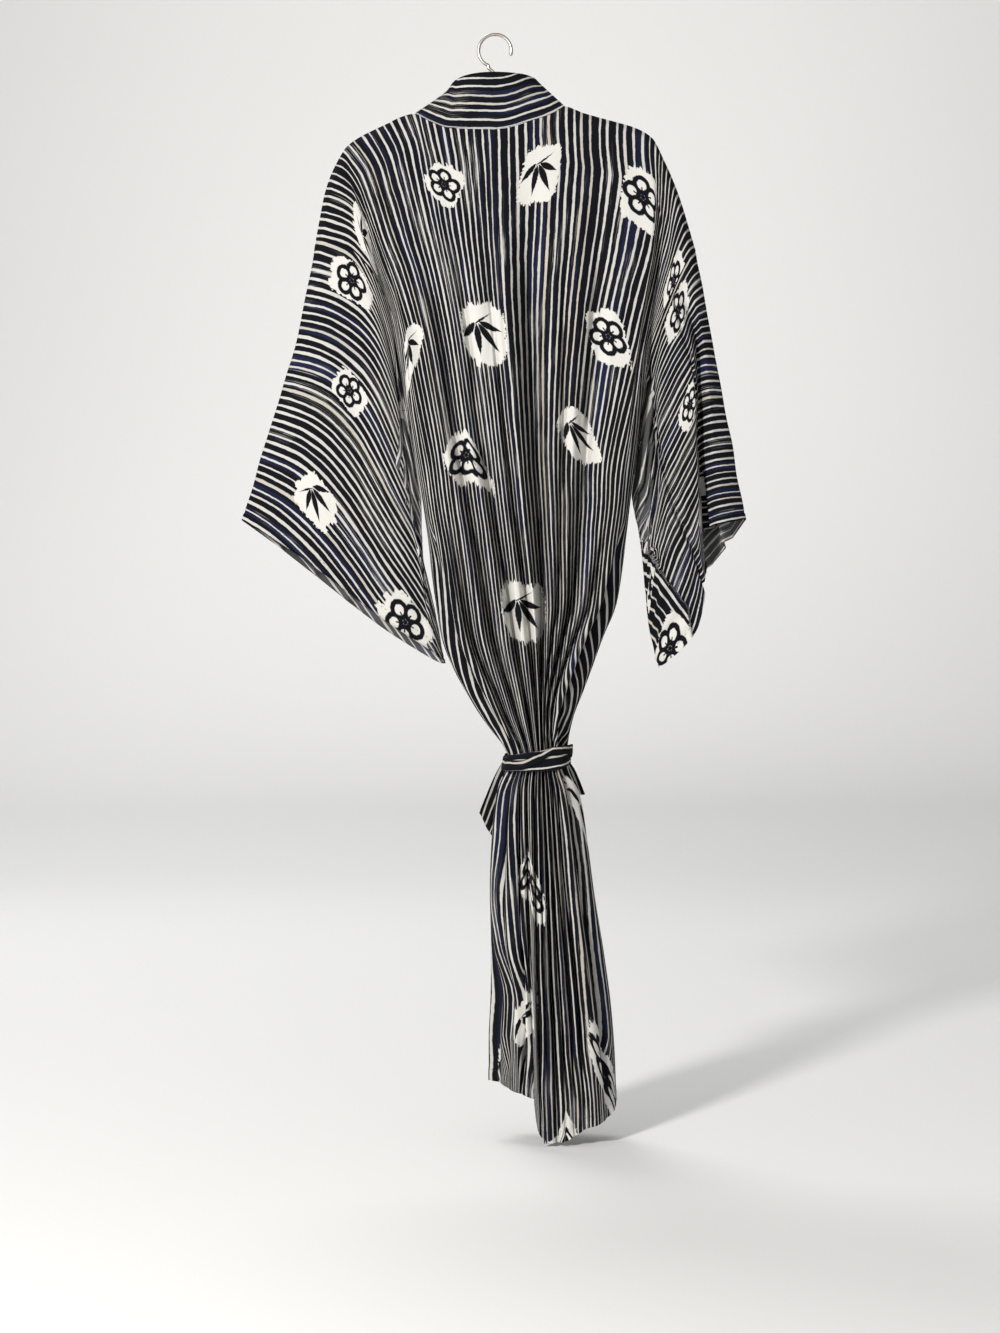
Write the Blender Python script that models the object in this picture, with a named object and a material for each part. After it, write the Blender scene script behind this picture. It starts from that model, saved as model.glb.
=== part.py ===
"""A cotton yukata robe, tied with its own sash and hung on a wooden hanger.

Metres, +Z up. The origin is the top of the hook's inside, where it hangs. The back of the robe
faces -Y, its front faces +Y, and the wearer's left is at -X. Every piece of cloth is one wall of
even thickness: a grid of outer points, and the same grid moved inwards along its normals.
Side is -1 for the wearer's left and +1 for the right; face is -1 for the back, +1 for the front.
"""

import math

import bmesh
import bpy
import numpy as np

CLOTH = 0.0011            # one layer of cotton with its hand
BAND = 0.0020             # a folded band: collar and sash
SEAM_GAP = 0.0003         # clearance between pieces that are sewn together
LAYER = 0.0060            # left front lies this far outside the right front
ARMHOLE_Z = -0.575        # foot of both armholes
BELT_Z = -0.901           # middle of the sash
ARMHOLE_U = 0.32          # centre-back seam to armhole along the shoulder
HANGER_U = 0.20           # centre-back seam to the end of the hanger
CUFF_U = 0.68             # centre-back seam to cuff
STRAIGHT = 0.7            # share of a half panel that lies flat before it rounds the side

WING_ROWS = 8             # rows from the fold of the shoulder to the valley beside the sleeve
ARM_ROWS = 6              # rows from there to the foot of the armhole
LOWER_ROWS = (-0.620, -0.665, -0.710, -0.752, -0.790, -0.822, -0.848, -0.868, -0.886,
              -0.901, -0.916, -0.936, -0.962, -1.005, -1.065, -1.130, -1.195, -1.255, -1.305)

# Level sections of the tied robe: height, left and right edge, centre-back seam, depth of the
# back and of the front from the middle, and how far across the rounding of each side reaches.
SECTIONS = np.array((
    # z      left    right   seam    back    front   corner
    (-0.090, -0.190, 0.200, -0.002, 0.0075, 0.0075, 0.002),
    (-0.140, -0.188, 0.199, -0.001, 0.0090, 0.0090, 0.003),
    (-0.205, -0.168, 0.205, 0.001, 0.0190, 0.0180, 0.007),
    (-0.267, -0.150, 0.204, 0.003, 0.0260, 0.0250, 0.010),
    (-0.367, -0.124, 0.193, 0.010, 0.0340, 0.0320, 0.013),
    (-0.492, -0.106, 0.180, 0.021, 0.0400, 0.0380, 0.016),
    (-0.592, -0.089, 0.168, 0.031, 0.0450, 0.0420, 0.020),
    (-0.705, -0.074, 0.153, 0.043, 0.0480, 0.0440, 0.028),
    (-0.762, -0.064, 0.131, 0.048, 0.0460, 0.0430, 0.032),
    (-0.805, -0.044, 0.116, 0.051, 0.0420, 0.0400, 0.034),
    (-0.855, -0.014, 0.097, 0.054, 0.0360, 0.0350, 0.026),
    (-0.886, 0.010, 0.091, 0.055, 0.0315, 0.0310, 0.018),
    (-0.901, 0.017, 0.090, 0.056, 0.0300, 0.0300, 0.016),
    (-0.918, 0.014, 0.093, 0.056, 0.0320, 0.0320, 0.018),
    (-0.940, 0.004, 0.104, 0.056, 0.0370, 0.0370, 0.024),
    (-0.980, -0.002, 0.112, 0.057, 0.0430, 0.0420, 0.030),
    (-1.050, -0.006, 0.121, 0.059, 0.0490, 0.0460, 0.034),
    (-1.180, -0.007, 0.141, 0.062, 0.0570, 0.0510, 0.038),
    (-1.255, -0.010, 0.149, 0.065, 0.0610, 0.0540, 0.040),
    (-1.380, -0.008, 0.153, 0.068, 0.0640, 0.0560, 0.040)))

# Top edge of the back, over the hanger and round the nape.
SHOULDER = np.array((
    # x      z
    (-0.190, -0.1420), (-0.170, -0.1270), (-0.144, -0.1140), (-0.100, -0.0970), (-0.092, -0.1030),
    (-0.080, -0.1085), (-0.056, -0.1170), (0.000, -0.1180), (0.050, -0.1060), (0.079, -0.0945),
    (0.087, -0.0880), (0.110, -0.0960), (0.131, -0.1020), (0.160, -0.1100), (0.181, -0.1170),
    (0.200, -0.1300)))
NECK_X = {-1: -0.100, 1: 0.087}
RIDGE = 0.016             # height over which the cloth rounds the top of the hanger

# Cloth past the end of the hanger: fold along its top, a bend, and the height where it drops
# into the valley beside the body, at three distances along the shoulder.
WING = {
    -1: np.array((
        # u     fold x  fold z  bend x  bend z  lip z
        (0.20, -0.190, -0.142, -0.189, -0.142, -0.143),
        (0.26, -0.211, -0.190, -0.186, -0.197, -0.212),
        (0.32, -0.224, -0.255, -0.182, -0.268, -0.295))),
    1: np.array((
        (0.20, 0.200, -0.131, 0.200, -0.131, -0.134),
        (0.26, 0.228, -0.194, 0.226, -0.198, -0.255),
        (0.32, 0.251, -0.269, 0.244, -0.276, -0.350)))}
WING_DEPTH = 0.018        # half thickness of the hanging sleeve
LIP = 0.011               # radius at which it rolls into the valley
VALLEY_FLOOR = 0.004      # distance of the valley's floor from the middle plane

# Folds that run down the back: place across the half back at chest, waist and hem (- left,
# + right), half width, and depth at chest, waist and hem.
BACK_FOLDS = np.array((
    # chest  waist   hem    width  d chest d waist d hem
    (-0.860, -0.860, -0.88, 0.110, 0.000, 0.014, 0.010),
    (-0.640, -0.640, -0.66, 0.100, 0.002, 0.018, 0.012),
    (-0.455, -0.420, -0.43, 0.095, 0.009, 0.020, 0.008),
    (-0.260, -0.200, -0.22, 0.085, 0.009, 0.020, 0.010),
    (-0.070, -0.030, -0.04, 0.070, 0.003, 0.012, 0.003),
    (0.140, 0.135, 0.130, 0.095, 0.024, 0.030, 0.016),
    (0.310, 0.290, 0.300, 0.070, 0.004, 0.014, 0.005),
    (0.465, 0.450, 0.470, 0.100, 0.013, 0.022, 0.008),
    (0.650, 0.640, 0.650, 0.095, 0.002, 0.016, 0.010),
    (0.860, 0.850, 0.860, 0.110, 0.000, 0.014, 0.008)))
FRONT_FOLDS = np.array((
    (-0.860, -0.860, -0.86, 0.110, 0.000, 0.008, 0.006),
    (-0.620, -0.600, -0.62, 0.130, 0.003, 0.005, 0.004),
    (-0.340, -0.330, -0.33, 0.140, 0.002, 0.004, 0.003),
    (0.000, 0.000, 0.000, 0.150, 0.002, 0.004, 0.003),
    (0.340, 0.330, 0.340, 0.140, 0.003, 0.004, 0.003),
    (0.610, 0.600, 0.610, 0.130, 0.003, 0.005, 0.003),
    (0.860, 0.850, 0.860, 0.110, 0.000, 0.008, 0.006)))
FOLD_HEIGHTS = (-1.40, -1.12, -0.97, -0.75, -0.47, -0.17)
SIDE_FOLDS_BELOW = -0.60  # folds on the rounded sides start under the sleeve

# The left quarter of the skirt's back hangs behind the rest, along a slanting folded edge.
STEP_TOP, STEP_FOOT = -1.10, -1.372
STEP_PLACE_TOP, STEP_PLACE_FOOT = -0.95, -0.27
STEP_DEPTH = 0.017
STEP_WIDTH = 0.30

# Hem of the back and of the fronts, by place across (- left, + right).
BACK_HEM = np.array(((-1.0, -1.308), (-0.62, -1.316), (-0.40, -1.322), (-0.27, -1.362),
                     (-0.16, -1.372), (0.2, -1.371), (0.6, -1.358), (0.86, -1.345), (1.0, -1.330)))
FRONT_HEM = {-1: -1.308, 1: -1.300}

# Front edges (the seam of the collar) and overlap seams, by height.
FRONT_EDGE = {
    -1: np.array(((-0.096, -0.100), (-0.150, -0.096), (-0.250, -0.078), (-0.350, -0.052),
                  (-0.450, -0.022), (-0.575, 0.014), (-0.700, 0.038), (-0.800, 0.046),
                  (-0.860, 0.046), (-0.901, 0.046), (-0.960, 0.050), (-1.050, 0.056),
                  (-1.120, 0.066), (-1.200, 0.080), (-1.380, 0.096))),
    1: np.array(((-0.086, 0.087), (-0.150, 0.085), (-0.250, 0.072), (-0.350, 0.054),
                 (-0.450, 0.036), (-0.575, 0.022), (-0.700, 0.026), (-0.800, 0.040),
                 (-0.860, 0.050), (-0.901, 0.055), (-0.960, 0.056), (-1.050, 0.057),
                 (-1.200, 0.052), (-1.380, 0.048)))}
OVERLAP_SEAM = {
    -1: np.array(((-0.280, -0.072), (-0.450, -0.055), (-0.575, -0.034), (-0.700, -0.010),
                  (-0.800, 0.016), (-0.860, 0.031), (-0.901, 0.038), (-0.960, 0.039),
                  (-1.050, 0.040), (-1.200, 0.046), (-1.380, 0.052))),
    1: np.array(((-0.280, 0.068), (-0.450, 0.072), (-0.575, 0.072), (-0.700, 0.076),
                 (-0.800, 0.068), (-0.860, 0.064), (-0.901, 0.064), (-0.960, 0.070),
                 (-1.050, 0.078), (-1.200, 0.088), (-1.380, 0.090)))}
OVERLAP_TOP = -0.280
OVERLAP_TIP = 0.0025      # width that the overlap starts with

COLLAR_FOOT = -1.100      # the collar ends here, and the overlap's own edge goes on
COLLAR_COLUMNS = 6
COLLAR_TURN = 0.130       # it turns from standing to lying flat over this height
COLLAR_WIDTH = np.array(((-0.090, 0.058), (-0.600, 0.058), (-0.750, 0.048), (-0.800, 0.034),
                         (-0.860, 0.020), (-0.901, 0.016), (-0.940, 0.020), (-0.980, 0.026),
                         (-1.050, 0.034), (-1.100, 0.036)))
COLLAR_TOP = {-1: (-0.056, 0.010, -0.064), 0: (-0.002, -0.022, -0.050), 1: (0.050, 0.010, -0.052)}

# Sleeves beyond the armhole: sections at three distances from the centre-back seam. Each row
# goes round the sleeve from the fold along its top, down the back, under, and up the front:
# fold, strip, groove, crown, back lip, back wall, underarm seam, then the same up the front.
LEFT_RINGS = {
    0.44: ((-0.249, 0.002, -0.380), (-0.215, -0.019, -0.388), (-0.180, -0.022, -0.402),
           (-0.142, -0.022, -0.420), (-0.123, -0.016, -0.441), (-0.115, -0.010, -0.530),
           (-0.090, 0.000, -0.640), (-0.115, 0.010, -0.530), (-0.125, 0.018, -0.446),
           (-0.145, 0.027, -0.424), (-0.182, 0.028, -0.404), (-0.218, 0.023, -0.389)),
    0.56: ((-0.283, 0.003, -0.492), (-0.243, -0.019, -0.505), (-0.196, -0.024, -0.530),
           (-0.140, -0.023, -0.565), (-0.103, -0.016, -0.597), (-0.092, -0.009, -0.650),
           (-0.075, 0.000, -0.715), (-0.092, 0.009, -0.650), (-0.106, 0.020, -0.600),
           (-0.143, 0.030, -0.568), (-0.198, 0.031, -0.533), (-0.245, 0.025, -0.507)),
    0.68: ((-0.317, 0.004, -0.605), (-0.274, -0.016, -0.630), (-0.210, -0.022, -0.675),
           (-0.135, -0.021, -0.732), (-0.074, -0.015, -0.772), (-0.066, -0.008, -0.780),
           (-0.062, 0.000, -0.784), (-0.066, 0.010, -0.784), (-0.078, 0.020, -0.779),
           (-0.138, 0.030, -0.742), (-0.212, 0.031, -0.685), (-0.276, 0.024, -0.635))}
RIGHT_RINGS = {
    0.44: ((0.274, 0.002, -0.386), (0.260, -0.012, -0.391), (0.253, -0.004, -0.400),
           (0.246, -0.020, -0.412), (0.202, -0.020, -0.488), (0.190, -0.010, -0.560),
           (0.182, 0.002, -0.640), (0.192, 0.012, -0.560), (0.204, 0.024, -0.470),
           (0.222, 0.032, -0.440), (0.242, 0.030, -0.412), (0.262, 0.022, -0.394)),
    0.56: ((0.296, 0.002, -0.505), (0.272, -0.015, -0.513), (0.256, 0.004, -0.525),
           (0.252, -0.022, -0.548), (0.214, -0.030, -0.610), (0.196, -0.022, -0.668),
           (0.190, -0.006, -0.730), (0.191, 0.014, -0.668), (0.206, 0.028, -0.610),
           (0.232, 0.034, -0.565), (0.258, 0.032, -0.534), (0.282, 0.022, -0.514)),
    0.64: ((0.308, 0.002, -0.572), (0.280, -0.016, -0.583), (0.260, 0.005, -0.597),
           (0.256, -0.024, -0.645), (0.236, -0.030, -0.702), (0.212, -0.025, -0.742),
           (0.199, -0.005, -0.772), (0.208, 0.015, -0.742), (0.230, 0.027, -0.705),
           (0.248, 0.033, -0.655), (0.262, 0.032, -0.622), (0.288, 0.023, -0.598)),
    0.68: ((0.314, 0.002, -0.604), (0.284, -0.016, -0.617), (0.262, 0.006, -0.632),
           (0.261, -0.024, -0.690), (0.252, -0.030, -0.738), (0.230, -0.026, -0.768),
           (0.204, -0.005, -0.790), (0.222, 0.016, -0.772), (0.244, 0.027, -0.745),
           (0.256, 0.033, -0.700), (0.266, 0.033, -0.672), (0.290, 0.024, -0.640))}
RING_COUNT = 9            # sections made between the armhole and the cuff

# The sash: two laps round the waist that cross at the back, knotted in front. Rows give the way
# round (0 middle of the back, 0.25 right side, 0.5 front, 0.75 left side) and both edges.
SASH_INNER = np.array((
    # way   top      bottom
    (0.00, -0.8925, -0.9175), (0.10, -0.8880, -0.9160), (0.25, -0.8860, -0.9090),
    (0.40, -0.8890, -0.9090), (0.50, -0.8930, -0.9090), (0.60, -0.8950, -0.9120),
    (0.75, -0.8990, -0.9180), (0.90, -0.8960, -0.9180), (1.00, -0.8925, -0.9175)))
SASH_OUTER = np.array((
    (0.00, -0.8960, -0.9060), (0.10, -0.8870, -0.8960), (0.25, -0.8850, -0.8990),
    (0.40, -0.8900, -0.9070), (0.50, -0.8950, -0.9110), (0.60, -0.8970, -0.9140),
    (0.75, -0.9030, -0.9170), (0.90, -0.9040, -0.9160), (1.00, -0.8960, -0.9060)))
SASH_CLEAR = 0.0009       # inner lap's clearance over the gathers
KNOT_MIDDLE = (0.050, 0.0535, -0.901)
KNOT_REACH, KNOT_DEPTH, KNOT_HEIGHT = 0.011, 0.0110, 0.0170
# Both ears of the bow: middle of the band going out, half width, and how far ahead it is.
EARS = {
    -1: np.array((
        # x      y       z       half width
        (0.0410, 0.0500, -0.9000, 0.0090), (0.0290, 0.0520, -0.9060, 0.0115),
        (0.0130, 0.0530, -0.9330, 0.0145), (-0.0060, 0.0500, -0.9760, 0.0160))),
    1: np.array((
        (0.0585, 0.0500, -0.9005, 0.0126), (0.0720, 0.0530, -0.9060, 0.0115),
        (0.0880, 0.0540, -0.9220, 0.0130), (0.0985, 0.0520, -0.9480, 0.0140)))}
EAR_TURN = 0.0040         # radius of the fold at the end of an ear
TAILS = {
    -1: np.array((
        (0.0440, 0.0500, -0.9190, 0.0050), (0.0400, 0.0560, -0.9500, 0.0085),
        (0.0370, 0.0590, -1.0200, 0.0110), (0.0330, 0.0640, -1.1100, 0.0125),
        (0.0310, 0.0670, -1.1930, 0.0130))),
    1: np.array((
        (0.0560, 0.0500, -0.9190, 0.0050), (0.0620, 0.0560, -0.9500, 0.0085),
        (0.0660, 0.0590, -1.0200, 0.0110), (0.0700, 0.0640, -1.1000, 0.0125),
        (0.0680, 0.0670, -1.1700, 0.0130)))}

# Wooden hanger: top edge of the arms, and the steel hook's wire.
HANGER_TOP = np.array((
    # x      z       height
    (-0.186, -0.1450, 0.012), (-0.172, -0.1345, 0.018), (-0.144, -0.1190, 0.022),
    (-0.100, -0.1030, 0.024), (-0.085, -0.1000, 0.024), (-0.050, -0.0880, 0.025),
    (0.000, -0.0800, 0.026), (0.050, -0.0840, 0.025), (0.075, -0.0910, 0.024),
    (0.087, -0.0940, 0.024), (0.131, -0.1070, 0.022),
    (0.160, -0.1150, 0.020), (0.181, -0.1220, 0.017), (0.196, -0.1355, 0.011)))
HANGER_DEPTH = 0.009
HOOK_WIRE = 0.0042
HOOK_RADIUS = 0.0205


def curve(at, stations, values):
    """Smooth curve through a table that never swings past its own values."""
    at = np.atleast_1d(np.asarray(at, float))
    stations = np.asarray(stations, float)
    values = np.asarray(values, float)
    if stations[0] > stations[-1]:
        stations = stations[::-1]
        values = values[::-1]
    if values.ndim == 1:
        values = values[:, None]
    step = np.diff(stations)[:, None]
    slope = np.diff(values, axis=0) / step
    tangent = np.zeros_like(values)
    tangent[0] = slope[0]
    tangent[-1] = slope[-1]
    before, after = slope[:-1], slope[1:]
    same = before * after > 0
    with np.errstate(divide="ignore", invalid="ignore"):
        mean = 2 * before * after / (before + after)
    tangent[1:-1] = np.where(same, mean, 0)
    cell = np.clip(np.searchsorted(stations, at) - 1, 0, len(stations) - 2)
    t = np.clip((at - stations[cell]) / step[cell, 0], 0, 1)[:, None]
    width = step[cell]
    result = ((1 + 2 * t) * (1 - t) ** 2 * values[cell] + t * (1 - t) ** 2 * width * tangent[cell]
              + t ** 2 * (3 - 2 * t) * values[cell + 1] + t ** 2 * (t - 1) * width * tangent[cell + 1])
    return result if result.shape[1] > 1 else result[:, 0]


def lookup(table, key):
    """One value from a two-column table."""
    return float(curve(key, table[:, 0], table[:, 1])[0])


def section(z):
    """Left, right, seam, back, front and corner at a height."""
    return curve(max(min(z, -0.090), -1.380), SECTIONS[:, 0], SECTIONS[:, 1:])[0]


def ease(t):
    """Smooth step from 0 to 1."""
    t = min(max(t, 0.0), 1.0)
    return t * t * (3 - 2 * t)


def half_loop(z):
    """Length of cloth from the middle to one side at a height."""
    left, right, _, back, _, corner = section(z)
    return (right - left) / 2 - corner + (corner + back) * 0.8


def fold_depth(face, place, z):
    """How far the folds draw the cloth in at a place across and a height."""
    folds = BACK_FOLDS if face < 0 else FRONT_FOLDS
    total = 0.0
    for chest, waist, hem, width, d_chest, d_waist, d_hem in folds:
        middle = curve(z, FOLD_HEIGHTS, (hem, hem, waist, waist, chest, chest))[0]
        reach = abs(place - middle) / width
        if reach >= 1:
            continue
        depth = curve(z, FOLD_HEIGHTS, (d_hem, d_hem, d_hem, d_waist, d_chest, 0))[0]
        wave = 2 * width * half_loop(z)
        depth = min(depth, 0.9 * (wave / (2 * math.pi)) ** 2 / CLOTH)
        if abs(middle) > STRAIGHT - width:
            depth *= ease((SIDE_FOLDS_BELOW - z) / 0.10)
        total += depth * math.cos(math.pi / 2 * reach) ** 2
    return total


def step_depth(place, z):
    """Set-back of the left of the skirt behind its slanting folded edge."""
    if z > STEP_TOP:
        return 0.0
    down = (STEP_TOP - z) / (STEP_TOP - STEP_FOOT)
    edge = STEP_PLACE_TOP + (STEP_PLACE_FOOT - STEP_PLACE_TOP) * down
    return STEP_DEPTH * ease(down * 3) * ease((edge - place) / STEP_WIDTH + 0.5)


def arrival(side, z):
    """Share of the shoulder's overhang whose lines have reached the valley at a height."""
    lips = WING[side][:, 5]
    if z >= lips[0]:
        return 0.0
    if z > lips[-1]:
        share = (WING[side][:, 0] - HANGER_U) / (ARMHOLE_U - HANGER_U)
        return float(curve(z, lips, share)[0])
    return 1.0 + ease((lips[-1] - z) / 0.06)


def valley_floor(side, z, depth):
    """Distance of the valley's floor from the middle plane."""
    if z <= ARMHOLE_Z:
        return 0.0005
    top = WING[side][0, 5]
    open_share = ease((top - z) / 0.16)
    closing = ease((z - ARMHOLE_Z) / 0.06)
    return depth * (1 - open_share) + (0.0005 + (VALLEY_FLOOR - 0.0005) * closing) * open_share


def wing_lip(side, face, z):
    """Where the hanging sleeve starts to roll into the valley."""
    left, right, _, back, front, corner = section(z)
    edge = left if side < 0 else right
    depth = back if face < 0 else front
    start = WING[side][0, 5]
    grow = ease((start - z) / 0.12)
    lip_y = depth + (WING_DEPTH - depth) * grow
    return edge, lip_y, LIP * grow


def body_point(side, face, place, z, level=0.0, folded=True):
    """A point of the body's wall: place is 0 at the middle and 1 at the side."""
    left, right, seam, back, front, corner = section(z)
    edge = left if side < 0 else right
    depth = back if face < 0 else front
    lip = edge - side * corner
    if place <= STRAIGHT:
        x = seam + (lip - seam) * place / STRAIGHT
        y, normal = face * depth, (0.0, face)
    else:
        share = (place - STRAIGHT) / (1 - STRAIGHT)
        arrived = arrival(side, z)
        turn = share / 2 if arrived >= 2 or z <= ARMHOLE_Z else min(share / max(arrived, 1e-6), 1.0)
        if z > ARMHOLE_Z and arrived < 2 and arrived > 1:
            turn = share / arrived
        floor = valley_floor(side, z, depth)
        if turn <= 0.5:
            angle = math.pi * turn
            x = lip + side * corner * math.sin(angle)
            y = face * (floor + (depth - floor) * math.cos(angle))
            across, along = math.sin(angle) * (depth - floor), math.cos(angle) * corner
            size = math.hypot(across, along) or 1.0
            normal = (side * across / size, face * along / size)
        else:
            _, lip_y, radius = wing_lip(side, face, z)
            angle = math.pi * (turn - 0.5)
            x = edge + side * (0.001 + radius * (1 - math.cos(angle)))
            y = face * (floor + (lip_y - floor) * math.sin(angle))
            normal = (0.0, face)
    drawn = fold_depth(face, side * place, z) if folded and turn_free(side, place, z) else 0.0
    if face < 0:
        drawn += step_depth(side * place, z)
    out = level - drawn
    return x + normal[0] * out, y + normal[1] * out, z


def turn_free(side, place, z):
    """Folds stay off the valley beside the sleeve."""
    return place <= STRAIGHT or z < ARMHOLE_Z


def shoulder_z(x):
    return lookup(SHOULDER, x)


def wing_path(side, face, u):
    """Line of equal distance from the centre seam, from the top fold into the valley."""
    fold_x, fold_z, bend_x, bend_z, lip_z = curve(u, WING[side][:, 0], WING[side][:, 1:])[0]
    edge, lip_y, radius = wing_lip(side, face, lip_z)
    lip_x = edge + side * (0.001 + radius)
    first = math.hypot(bend_x - fold_x, bend_z - fold_z)
    second = math.hypot(lip_x - bend_x, lip_z - bend_z)
    stations = (0.0, max(first, 1e-4), max(first, 1e-4) + max(second, 1e-4))
    table = np.array(((fold_x, fold_z), (bend_x, bend_z), (lip_x, lip_z)))
    return stations, table, lip_y


def column_point(side, face, place, distance):
    """A point at a distance down a panel's line, from the top edge of the panel."""
    if place <= STRAIGHT:
        x = NECK_X[side]
        for _ in range(4):
            x = body_point(side, face, place, shoulder_z(x))[0]
        top = shoulder_z(x)
        z = top - distance
        x, y, z = body_point(side, face, place, z)
        return x, y * ridge(side, face, x, distance), z
    u = HANGER_U + (ARMHOLE_U - HANGER_U) * (place - STRAIGHT) / (1 - STRAIGHT)
    stations, table, lip_y = wing_path(side, face, u)
    if distance <= stations[-1]:
        x, z = curve(distance, stations, table)[0]
        rise = math.sqrt(1 - (1 - min(distance / RIDGE, 1.0)) ** 2)
        return x, face * max(lip_y * rise, SEAM_GAP / 2), z
    z = table[-1, 1] - (distance - stations[-1])
    return body_point(side, face, place, z)


def ridge(side, face, x, distance):
    """Rounding over the hanger; behind the nape the back stands clear of it."""
    rise = math.sqrt(1 - (1 - min(distance / RIDGE, 1.0)) ** 2)
    rise = max(rise, 0.03)
    if face < 0:
        inside = ease((abs(NECK_X[side]) - abs(x)) / 0.010)
        rise = rise + (1 - rise) * inside
    return rise


def column_start(side, place):
    """Length of a panel's line that the shoulder rows cover."""
    if place <= STRAIGHT:
        return 0.070
    u = HANGER_U + (ARMHOLE_U - HANGER_U) * (place - STRAIGHT) / (1 - STRAIGHT)
    share = (u - HANGER_U) / (ARMHOLE_U - HANGER_U)
    stations, _, _ = wing_path(side, -1, ARMHOLE_U)
    return 0.070 + (stations[-1] - 0.070) * share


def panel_column(side, face, place, hem):
    """All points of one line of a panel, from the shoulder to the hem."""
    points = []
    start = column_start(side, place)
    for row in range(WING_ROWS + 1):
        points.append(column_point(side, face, place, start * row / WING_ROWS))
    top = points[-1][2]
    heights = [top + (ARMHOLE_Z - top) * row / ARM_ROWS for row in range(1, ARM_ROWS + 1)]
    heights += [hem_height(z, hem) for z in LOWER_ROWS]
    for z in heights:
        level = front_level(side, side * place, z) if face > 0 else 0.0
        points.append(body_point(side, face, place, z, level))
    return points


def grid_normals(points, closed=False):
    """Normal at each point of a grid, from the cells around it."""
    normals = np.zeros_like(points)
    columns = points.shape[1]
    for j in range(columns if closed else columns - 1):
        k = (j + 1) % columns
        cell = np.cross(points[1:, k] - points[:-1, j], points[1:, j] - points[:-1, k])
        for rows in (slice(None, -1), slice(1, None)):
            normals[rows, j] += cell
            normals[rows, k] += cell
    normals /= np.maximum(np.linalg.norm(normals, axis=2, keepdims=True), 1e-12)
    for _ in range(2):
        before, after = np.roll(normals, 1, axis=1), np.roll(normals, -1, axis=1)
        if not closed:
            before[:, 0], after[:, -1] = normals[:, 0], normals[:, -1]
        normals = before + 2 * normals + after
        normals[1:-1] = normals[:-2] + 4 * normals[1:-1] + normals[2:]
        normals /= np.linalg.norm(normals, axis=2, keepdims=True)
    return normals


def drop_y(normals):
    """Turn normals into the plane of a seam that lies in the middle plane."""
    flat = normals * (1, 0, 1)
    return flat / np.maximum(np.linalg.norm(flat, axis=-1, keepdims=True), 1e-9)


def wall(name, outer, normals, material, thickness=CLOTH, closed=False):
    """Closed wall between a grid of outer points and the same grid moved inwards."""
    inner = outer - normals * thickness
    rows, columns = outer.shape[:2]
    mesh = bmesh.new()
    out = [[mesh.verts.new(p) for p in line] for line in outer]
    into = [[mesh.verts.new(p) for p in line] for line in inner]
    last = columns if closed else columns - 1
    faces = []
    for j in range(last):
        k = (j + 1) % columns
        for i in range(rows - 1):
            corners = ((i, j), (i, k), (i + 1, k), (i + 1, j))
            a, b, c, d = (outer[corner] for corner in corners)
            split = ((0, 1, 2), (0, 2, 3))
            if np.linalg.norm(a - c) > np.linalg.norm(b - d):
                split = ((0, 1, 3), (1, 2, 3))
            for triangle in split:
                faces.append([out[corners[t][0]][corners[t][1]] for t in triangle])
                faces.append([into[corners[t][0]][corners[t][1]] for t in reversed(triangle)])
        faces.append((out[0][j], into[0][j], into[0][k], out[0][k]))
        faces.append((out[-1][k], into[-1][k], into[-1][j], out[-1][j]))
    if not closed:
        for i in range(rows - 1):
            faces.append((out[i + 1][0], into[i + 1][0], into[i][0], out[i][0]))
            faces.append((out[i][-1], into[i][-1], into[i + 1][-1], out[i + 1][-1]))
    for corners in faces:
        mesh.faces.new(corners)
    bmesh.ops.triangulate(mesh, faces=mesh.faces[:])
    bmesh.ops.recalc_face_normals(mesh, faces=mesh.faces[:])
    return finish(name, mesh, material)


def finish(name, mesh, material):
    """Turn a bmesh into a named, smooth-shaded object."""
    data = bpy.data.meshes.new(name)
    mesh.to_mesh(data)
    mesh.free()
    data.shade_smooth()
    data.materials.append(material)
    thing = bpy.data.objects.new(name, data)
    bpy.context.scene.collection.objects.link(thing)
    return thing


def make_material(name, colour, roughness, metallic=0.0):
    material = bpy.data.materials.new(name)
    material.use_nodes = True
    shader = material.node_tree.nodes["Principled BSDF"]
    shader.inputs["Base Color"].default_value = (*colour, 1.0)
    shader.inputs["Roughness"].default_value = roughness
    shader.inputs["Metallic"].default_value = metallic
    return material


def edge_pull(edge, inner, amount):
    """Move an edge towards the grid's inside, square to its own run."""
    run = np.gradient(edge, axis=0)
    run /= np.maximum(np.linalg.norm(run, axis=1, keepdims=True), 1e-9)
    away = inner - edge
    away -= run * (away * run).sum(axis=1, keepdims=True)
    return edge + away / np.maximum(np.linalg.norm(away, axis=1, keepdims=True), 1e-9) * amount


def pull(grid, first=0.0, last=0.0, top=0.0):
    """Shorten a grid at its edges, to leave the gap at a seam."""
    grid = grid.copy()
    if first:
        grid[:, 0] = edge_pull(grid[:, 0], grid[:, 1], first)
    if last:
        grid[:, -1] = edge_pull(grid[:, -1], grid[:, -2], last)
    if top:
        grid[0] = edge_pull(grid[0], grid[1], top)
    return grid


def facing(normals, direction):
    """Normals turned so that, taken together, they face a direction."""
    return normals if (normals * direction).sum() > 0 else -normals


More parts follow.
